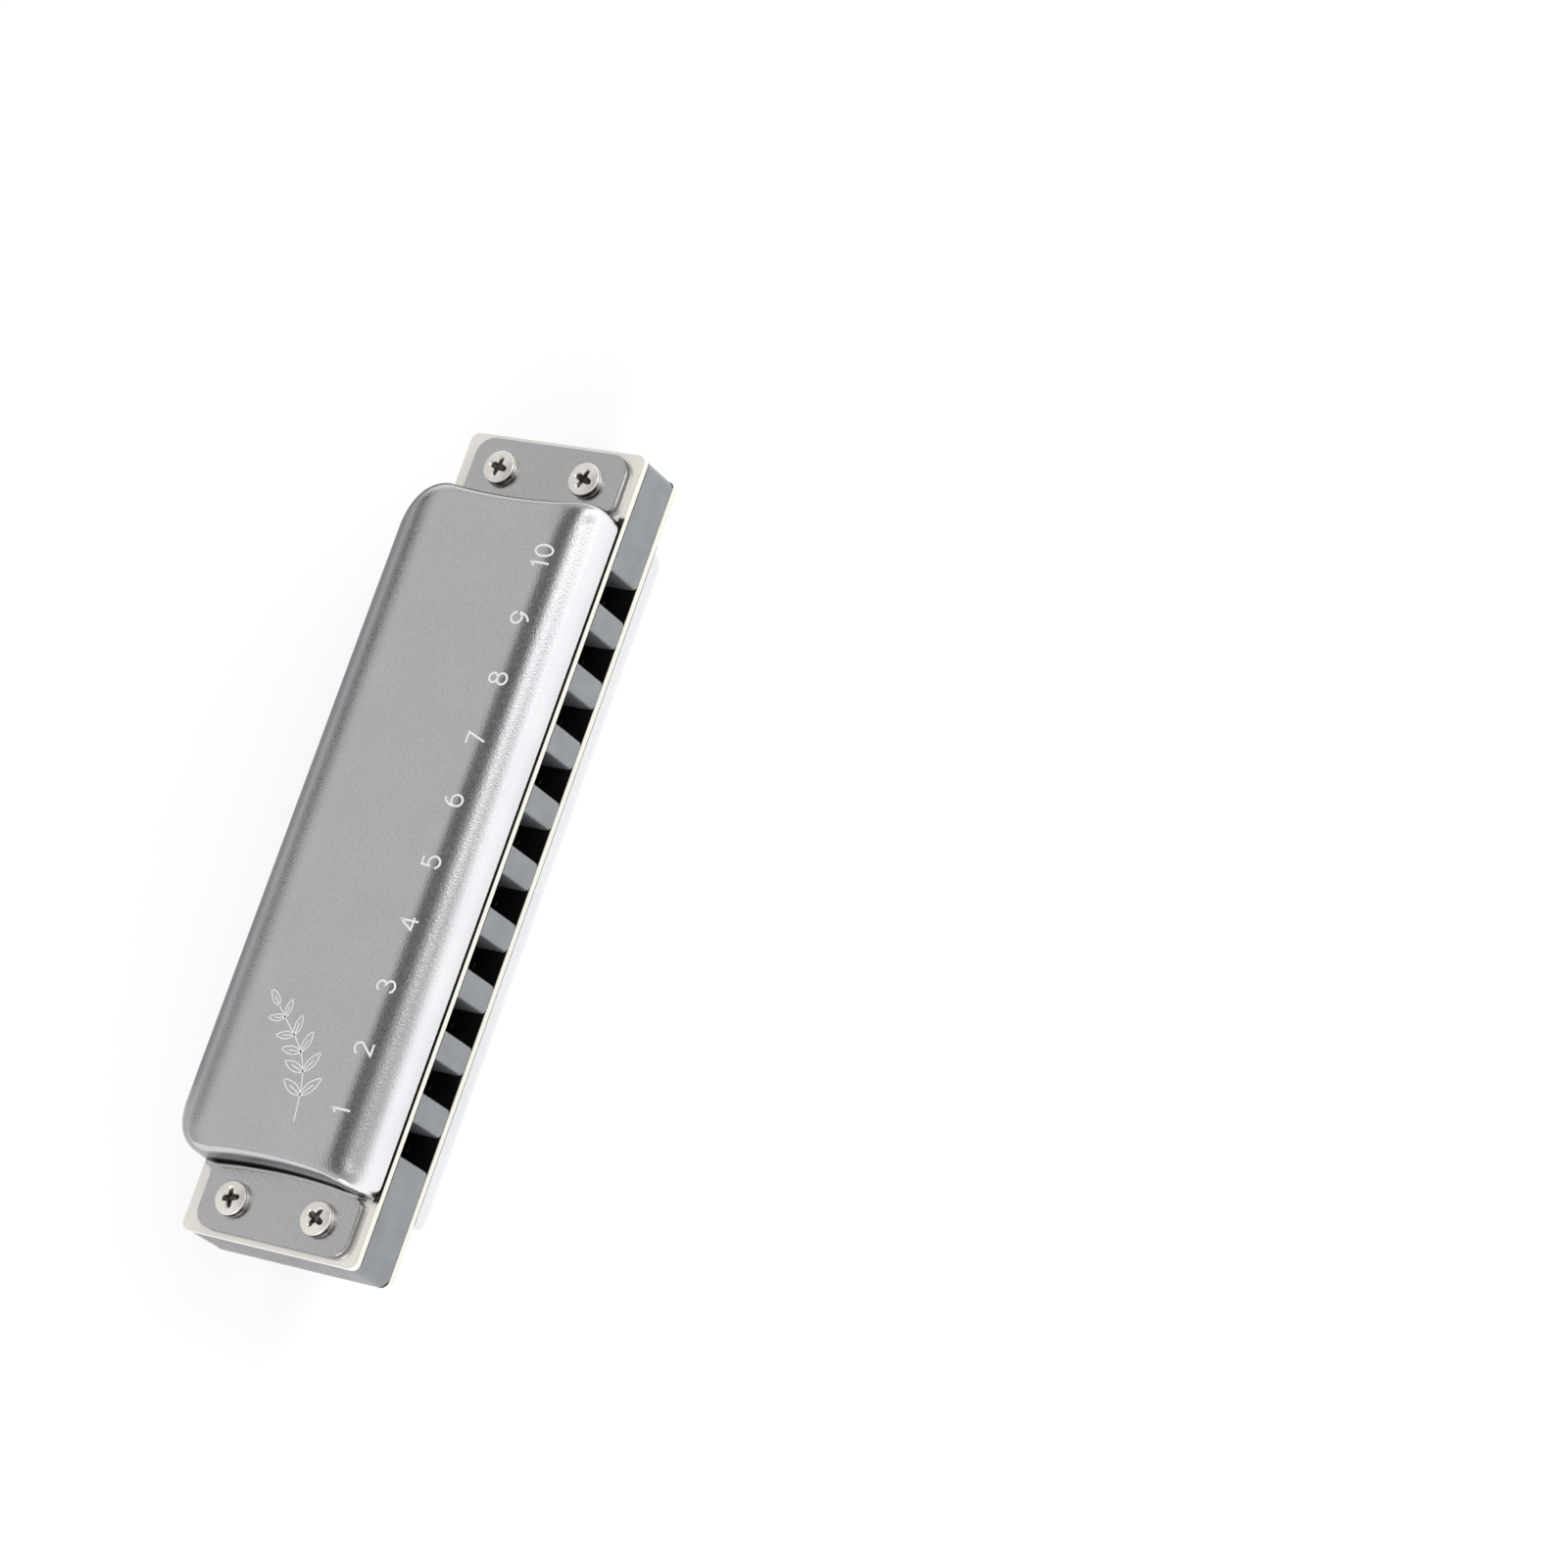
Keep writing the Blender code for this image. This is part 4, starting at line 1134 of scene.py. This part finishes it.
def make_nut(position, place, finish):
    """A hexagon nut with both faces chamfered and a bore that clears the thread."""
    node = "cover_nut_" + position
    low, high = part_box(node)
    corner_radius = (high.x - low.x) / 2
    bm = bmesh.new()
    add_cylinder(bm, place, corner_radius, low.z, high.z, 6)
    nut = add_mesh(node + "_hexagon", bm)
    height = high.z - low.z
    drop = NUT_CHAMFER / 2
    profile = (
        (0.0, height),
        (corner_radius - NUT_CHAMFER, height),
        (corner_radius + NUT_CHAMFER, height - 2 * drop),
        (corner_radius + NUT_CHAMFER, 2 * drop),
        (corner_radius - NUT_CHAMFER, 0.0),
        (0.0, 0.0),
    )
    round_body = bmesh.new()
    turned(round_body, profile, (*place, low.z), ROUND_STEPS)
    cut(nut, round_body, "INTERSECT")
    bore = bmesh.new()
    radius = COVER_SCREW_DIAMETER / 2 + SCREW_GAP / 3
    add_cylinder(bore, place, radius, low.z - CUT_OVERSHOOT, high.z + CUT_OVERSHOOT, ROUND_STEPS)
    cut(nut, bore)
    smooth(nut, 25)
    keep_flats(nut)
    stand_for(nut, finish, node)


def make_plate_screw(position, place, finish):
    node = "plate_screw_" + position
    low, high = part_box(node)
    seat = high.z - PLATE_SCREW_HEAD_HEIGHT
    head = PLATE_SCREW_HEAD / 2
    shank = PLATE_SCREW_DIAMETER / 2
    rim = PLATE_SCREW_HEAD_HEIGHT - PLATE_SCREW_ROUND
    profile = [(0.0, PLATE_SCREW_HEAD_HEIGHT)]
    for step in range(EDGE_STEPS + 1):
        turn = QUARTER * step / EDGE_STEPS
        radius = head - PLATE_SCREW_ROUND * (1 - math.sin(turn))
        profile.append((radius, rim + PLATE_SCREW_ROUND * math.cos(turn)))
    profile += [(head, 0.0), (shank, 0.0), (shank, low.z - seat), (0.0, low.z - seat)]
    bm = bmesh.new()
    turned(bm, profile, (*place, seat), SMALL_ROUND_STEPS)
    screw = add_mesh(node + "_slotted", bm)
    slot = bmesh.new()
    half = PLATE_SCREW_SLOT / 2
    corner = (place[0] - PLATE_SCREW_HEAD, place[1] - half, high.z - PLATE_SCREW_SLOT_DEPTH)
    far_corner = (place[0] + PLATE_SCREW_HEAD, place[1] + half, high.z + CUT_OVERSHOOT)
    add_block(slot, corner, far_corner)
    cut(screw, slot)
    smooth(screw)
    keep_flats(screw)
    stand_for(screw, finish, node)


# Marks on the top cover


def cover_surface(y):
    """World height of the top cover's skin along its long straight middle."""
    if crown_front <= y <= crown_rear:
        return level(UPPER, crown_level)
    if y < crown_front:
        share = min((crown_front - y) / FRONT_SHOULDER, 1.0)
        foot = seat_level + FRONT_WALL
    else:
        share = min((y - crown_rear) / REAR_SHOULDER, 1.0)
        foot = plate_outer_level + REAR_LIP_HEIGHT
    return level(UPPER, blend(foot, crown_level, math.sqrt(1 - share**2)))


def oval(centre, half_width, half_height, start, end):
    """Points on an oval stroke between two angles in degrees."""
    steps = max(int(abs(end - start) / 12), 2)
    points = []
    for step in range(steps + 1):
        angle = math.radians(blend(start, end, step / steps))
        points.append((centre[0] + half_width * math.cos(angle), centre[1] + half_height * math.sin(angle)))
    return points


def digit_strokes(digit):
    """Strokes of a plain numeral, one unit high, with x from 0 to about 0.55."""
    if digit == "1":
        return [[(0.20, 0.80), (0.38, 1.0), (0.38, 0.0)]]
    if digit == "2":
        return [oval((0.27, 0.72), 0.25, 0.28, 170, -35) + [(0.02, 0.0), (0.54, 0.0)]]
    if digit == "3":
        upper = oval((0.26, 0.755), 0.22, 0.245, 160, -90)
        return [upper, oval((0.26, 0.255), 0.26, 0.255, 90, -165)]
    if digit == "4":
        return [[(0.42, 0.0), (0.42, 1.0), (0.01, 0.27), (0.57, 0.27)]]
    if digit == "5":
        bowl = oval((0.26, 0.32), 0.27, 0.32, 125, -160)
        return [[(0.48, 1.0), (0.12, 1.0), (0.06, 0.50)] + bowl]
    if digit == "6":
        back = oval((0.42, 0.36), 0.40, 0.64, 95, 180)
        return [back + oval((0.28, 0.31), 0.26, 0.31, 180, 540)]
    if digit == "7":
        return [[(0.02, 1.0), (0.54, 1.0), (0.22, 0.0)]]
    if digit == "8":
        return [oval((0.27, 0.76), 0.22, 0.24, -90, 270), oval((0.27, 0.26), 0.26, 0.26, 90, 450)]
    if digit == "9":
        back = oval((0.12, 0.64), 0.40, 0.64, -85, 0)
        return [back + oval((0.26, 0.69), 0.26, 0.31, 0, 360)]
    return [oval((0.27, 0.5), 0.26, 0.5, -90, 270)]


def refined(points):
    """The same stroke with a point at least every mark step, so that it follows the skin."""
    result = [Vector(points[0])]
    for point in points[1:]:
        start, end = result[-1].copy(), Vector(point)
        run = (end - start).length
        steps = max(math.ceil(run / MARK_STEP), 1)
        if run < MARK_STEP / 50:
            continue
        result += [start.lerp(end, step / steps) for step in range(1, steps + 1)]
    return result


def add_ribbon(bm, points, width):
    """A thin closed strip along a stroke in plan, laid on the cover's skin."""
    points = refined(points)
    last = len(points) - 1
    rings = []
    for index, point in enumerate(points):
        before = (point - points[max(index - 1, 0)]).normalized()
        after = (points[min(index + 1, last)] - point).normalized()
        if index == 0:
            before = after
        if index == last:
            after = before
        along = (before + after).normalized()
        side = Vector((-along.y, along.x))
        turn = max(along.dot(after), 0.5)
        offset = side * (width / 2 / turn)
        ring = []
        for place, lift in (
            (point + offset, MARK_LIFT),
            (point - offset, MARK_LIFT),
            (point - offset, -MARK_SINK),
            (point + offset, -MARK_SINK),
        ):
            ring.append(bm.verts.new((place.x, place.y, cover_surface(place.y) + lift)))
        rings.append(ring)
    for ring, following in zip(rings, rings[1:]):
        for step in range(4):
            nearby = (step + 1) % 4
            bm.faces.new((ring[nearby], ring[step], following[step], following[nearby]))
    bm.faces.new(rings[0])
    bm.faces.new(reversed(rings[-1]))


def add_number(bm, text, x):
    """A number centred over a hole, with its top away from the mouth side."""
    total = len(text) * DIGIT_WIDTH + (len(text) - 1) * DIGIT_SPACE
    for index, digit in enumerate(text):
        start = index * (DIGIT_WIDTH + DIGIT_SPACE) - total / 2
        for stroke in digit_strokes(digit):
            points = []
            for across, up in stroke:
                place = start + across * DIGIT_WIDTH / 0.55
                points.append((x + place * DIGIT_HEIGHT, DIGIT_FOOT + up * DIGIT_HEIGHT))
            add_ribbon(bm, points, DIGIT_STROKE)


def make_numbers(finish):
    for number in hole_numbers:
        bm = bmesh.new()
        add_number(bm, str(number), hole_x(number))
        mark = add_mesh(f"hole_number_{number}", bm)
        dress(mark, finish)
        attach(mark, "root")


def leaf(base, direction, length, half_width):
    """Strokes of a leaf: two bowed edges and a short midrib."""
    along = Vector((math.cos(direction), math.sin(direction)))
    across = Vector((-along.y, along.x))
    strokes = []
    for sign in (1, -1):
        edge = []
        for step in range(13):
            share = step / 12
            swell = math.sin(math.pi * share) ** 0.8 * (1 - 0.25 * share)
            edge.append(tuple(base + along * length * share + across * sign * half_width * swell))
        strokes.append(edge)
    strokes.append([tuple(base), tuple(base + along * length * 0.62)])
    return strokes


def stem_point(share):
    """The sprig's stem in plan, from its foot to its tip."""
    x = blend(-36.0, -22.6, share) + 0.9 * math.sin(math.pi * 1.4 * share)
    y = blend(-3.4, 4.0, share) - 1.6 * math.sin(math.pi * share)
    return Vector((x * MM, y * MM))


def make_sprig(finish):
    """A plain sprig of leaves etched on the crown near the low end."""
    bm = bmesh.new()
    stem = [tuple(stem_point(step / 30)) for step in range(31)]
    add_ribbon(bm, stem, SPRIG_STROKE)
    pairs = 5
    for pair in range(1, pairs + 1):
        share = pair / (pairs + 0.6)
        base = stem_point(share)
        ahead = stem_point(min(share + 0.02, 1.0)) - base
        heading = math.atan2(ahead.y, ahead.x)
        size = blend(3.4, 2.1, share) * MM
        for sign in (1, -1):
            for stroke in leaf(base, heading + sign * math.radians(52), size, size * 0.2):
                add_ribbon(bm, stroke, SPRIG_STROKE)
    tip = stem_point(1.0)
    ahead = tip - stem_point(0.97)
    for stroke in leaf(tip, math.atan2(ahead.y, ahead.x), 2.4 * MM, 0.5 * MM):
        add_ribbon(bm, stroke, SPRIG_STROKE)
    sprig = add_mesh("etched_sprig", bm)
    dress(sprig, finish)
    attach(sprig, "root")


# Floor, light and camera


def soft_step(nodes, links, source, low, high):
    step = nodes.new("ShaderNodeMapRange")
    step.interpolation_type = "SMOOTHSTEP"
    step.inputs["From Min"].default_value = low
    step.inputs["From Max"].default_value = high
    links.new(source, step.inputs["Value"])
    return step.outputs["Result"]


def add_floor():
    """A white floor that keeps the shadow, and that metal sees as white too, with painted light: it glows brighter in
    front of the mouth side.
    """
    bm = bmesh.new()
    bmesh.ops.create_grid(bm, x_segments=1, y_segments=1, size=3.0)
    bmesh.ops.translate(bm, verts=bm.verts, vec=(0.0, 0.0, -FLOOR_GAP))
    floor = add_mesh("floor", bm)
    material = bpy.data.materials.new("floor_white")
    material.use_nodes = True
    nodes, links = material.node_tree.nodes, material.node_tree.links
    nodes.remove(nodes["Principled BSDF"])
    diffuse = nodes.new("ShaderNodeBsdfDiffuse")
    diffuse.inputs["Color"].default_value = (0.6, 0.6, 0.6, 1.0)
    path = nodes.new("ShaderNodeLightPath")
    seen = path.outputs["Is Camera Ray"]
    for name in ("Is Glossy Ray", "Is Transmission Ray"):
        total = nodes.new("ShaderNodeMath")
        links.new(seen, total.inputs[0])
        links.new(path.outputs[name], total.inputs[1])
        seen = total.outputs[0]
    place = nodes.new("ShaderNodeSeparateXYZ")
    links.new(nodes.new("ShaderNodeTexCoord").outputs["Object"], place.inputs[0])
    # Painted light: the floor's glow is stronger in front of the mouth side.
    in_front = soft_step(nodes, links, place.outputs["Y"], 0.004, -0.02)
    glowing = nodes.new("ShaderNodeMath")
    glowing.operation = "MULTIPLY_ADD"
    links.new(in_front, glowing.inputs[0])
    glowing.inputs[1].default_value = 0.47
    glowing.inputs[2].default_value = 0.55
    strength = nodes.new("ShaderNodeMath")
    strength.operation = "MULTIPLY"
    links.new(glowing.outputs[0], strength.inputs[1])
    links.new(seen, strength.inputs[0])
    glow = nodes.new("ShaderNodeEmission")
    links.new(strength.outputs[0], glow.inputs["Strength"])
    both = nodes.new("ShaderNodeAddShader")
    links.new(diffuse.outputs[0], both.inputs[0])
    links.new(glow.outputs[0], both.inputs[1])
    links.new(both.outputs[0], nodes["Material Output"].inputs["Surface"])
    floor.data.materials.append(material)


# Soft dark patches of the surroundings: azimuth from +Y towards +X, elevation, radii, grey
DARK_PATCHES = ((60.0, 75.0, 14.0, 23.0, 0.16), (20.0, 22.0, 5.0, 12.0, 0.12))


def grey_ramp(nodes, stops):
    """A ramp of greys at half strength, from (position, grey) stops."""
    ramp = nodes.new("ShaderNodeValToRGB")
    ramp.color_ramp.interpolation = "EASE"
    elements = ramp.color_ramp.elements
    for index, (position, grey) in enumerate(stops):
        if index < 2:
            element = elements[index]
            element.position = position
        else:
            element = elements.new(position)
        element.color = (grey / 2, grey / 2, grey / 2, 1.0)
    return ramp


def mix_light(nodes, links, share, first, second):
    """One brightness passing into another, which may be a plain grey."""
    mix = nodes.new("ShaderNodeMix")
    mix.data_type = "RGBA"
    links.new(share, mix.inputs["Factor"])
    links.new(first, mix.inputs["A"])
    if isinstance(second, float):
        mix.inputs["B"].default_value = (second / 2, second / 2, second / 2, 1.0)
    else:
        links.new(second, mix.inputs["B"])
    return mix.outputs["Result"]


def add_world():
    """Soft studio surroundings: bright on the mouth side, with two dark patches behind."""
    world = bpy.data.worlds.new("studio")
    bpy.context.scene.world = world
    world.use_nodes = True
    nodes, links = world.node_tree.nodes, world.node_tree.links
    direction = nodes.new("ShaderNodeTexCoord").outputs["Generated"]
    parts = nodes.new("ShaderNodeSeparateXYZ")
    links.new(direction, parts.inputs[0])
    rear_stops = ((0.0, 1.0), (1.0, 0.5), (0.07, 0.62), (0.16, 0.6), (0.35, 0.5), (0.56, 0.7), (0.85, 0.78))
    end_stops = ((0.0, 1.15), (1.0, 0.5), (0.3, 1.1), (0.52, 0.85), (0.63, 0.5), (0.7, 0.5), (0.8, 0.78))
    front_stops = ((0.0, 1.6), (1.0, 0.45), (0.25, 1.3), (0.45, 0.72), (0.74, 0.6), (0.92, 0.5))
    ramps = []
    for stops in (rear_stops, end_stops, front_stops):
        ramp = grey_ramp(nodes, stops)
        links.new(parts.outputs["Z"], ramp.inputs["Fac"])
        ramps.append(ramp.outputs["Color"])
    sideways = nodes.new("ShaderNodeMath")
    sideways.operation = "ABSOLUTE"
    links.new(parts.outputs["X"], sideways.inputs[0])
    at_ends = soft_step(nodes, links, sideways.outputs[0], 0.34, 0.52)
    light = mix_light(nodes, links, at_ends, ramps[0], ramps[1])
    in_front = soft_step(nodes, links, parts.outputs["Y"], 0.2, -0.2)
    light = mix_light(nodes, links, in_front, light, ramps[2])
    for azimuth, elevation, inner, outer, grey in DARK_PATCHES:
        flat = math.cos(math.radians(elevation))
        towards = nodes.new("ShaderNodeVectorMath")
        towards.operation = "DOT_PRODUCT"
        links.new(direction, towards.inputs[0])
        towards.inputs[1].default_value = (
            flat * math.sin(math.radians(azimuth)),
            flat * math.cos(math.radians(azimuth)),
            math.sin(math.radians(elevation)),
        )
        limits = math.cos(math.radians(outer)), math.cos(math.radians(inner))
        shade = soft_step(nodes, links, towards.outputs["Value"], *limits)
        light = mix_light(nodes, links, shade, light, grey)
    background = nodes["Background"]
    background.inputs["Strength"].default_value = 2.0
    links.new(light, background.inputs["Color"])


def add_panel(name, place, target, width, height, radiance):
    """A soft lamp panel, set by the brightness of its face."""
    lamp = bpy.data.lights.new(name, "AREA")
    lamp.shape = "RECTANGLE"
    lamp.size = width
    lamp.size_y = height
    lamp.energy = radiance * math.pi * width * height
    item = bpy.data.objects.new(name, lamp)
    item.location = place
    item.rotation_euler = (Vector(target) - Vector(place)).to_track_quat("-Z", "Y").to_euler()
    bpy.context.scene.collection.objects.link(item)


def add_lights():
    add_world()
    target = (0.0, 0.0, 0.01)
    add_panel("far_front_panel", (0.195, -0.24, 0.235), target, 0.15, 0.38, 1.35)
    add_panel("low_front_panel", (0.11, -0.24, 0.12), target, 0.14, 0.12, 0.5)
    add_panel("near_front_panel", (-0.38, -0.10, 0.27), target, 0.18, 0.26, 2.5)


CAMERA_PLACE = Vector((-0.13779, -0.37191, 0.51157))
CAMERA_RIGHT = Vector((0.318117, -0.835197, -0.448605))
CAMERA_UP = Vector((0.915289, 0.147243, 0.374922))
CAMERA_LENS = 128.585


def add_camera():
    """The camera of the photograph: the harmonica lies flat and the camera is rolled."""
    lens = bpy.data.cameras.new("camera")
    lens.lens = CAMERA_LENS
    lens.sensor_width = 36.0
    camera = bpy.data.objects.new("camera", lens)
    right = CAMERA_RIGHT.normalized()
    back = right.cross(CAMERA_UP).normalized()
    up = back.cross(right)
    rotation = Matrix((right, up, back)).transposed().to_4x4()
    camera.matrix_world = Matrix.Translation(CAMERA_PLACE) @ rotation
    bpy.context.scene.collection.objects.link(camera)
    bpy.context.scene.camera = camera


def main():
    steel = make_steel()
    nickel = make_nickel()
    screw_metal = make_screw_nickel()
    plate_screw_metal = make_plain_metal("plate_screw_metal", (0.70, 0.66, 0.56), (0.80, 0.76, 0.66), 0.25)
    nut_metal = make_plain_metal("nut_metal", (0.68, 0.65, 0.62), (0.78, 0.75, 0.72), 0.24)
    reed_brass = make_brass("reed_brass", comb_half - 0.6 * MM)
    rivet_brass = make_brass("rivet_brass", comb_half + plate_inner_level)
    marks = make_mark_finish()
    make_comb(make_comb_finish())
    make_reed_plate("upper_reed_plate", UPPER, "blow", nickel)
    make_reed_plate("lower_reed_plate", LOWER, "draw", nickel)
    for kind in ("blow", "draw"):
        for number in hole_numbers:
            make_reed(f"{kind}_reed_{number}", reed_brass)
            make_rivet(f"{kind}_rivet_{number}", rivet_brass)
    make_cover("top_cover", UPPER, steel)
    make_cover("bottom_cover", LOWER, steel)
    for position, place in screw_places("cover_screw").items():
        make_cover_screw(position, place, screw_metal)
        make_nut(position, place, nut_metal)
    for position, place in screw_places("plate_screw").items():
        make_plate_screw(position, place, plate_screw_metal)
    make_numbers(marks)
    make_sprig(marks)
    add_floor()
    add_lights()
    add_camera()
    bpy.context.scene.view_settings.view_transform = "Standard"


main()
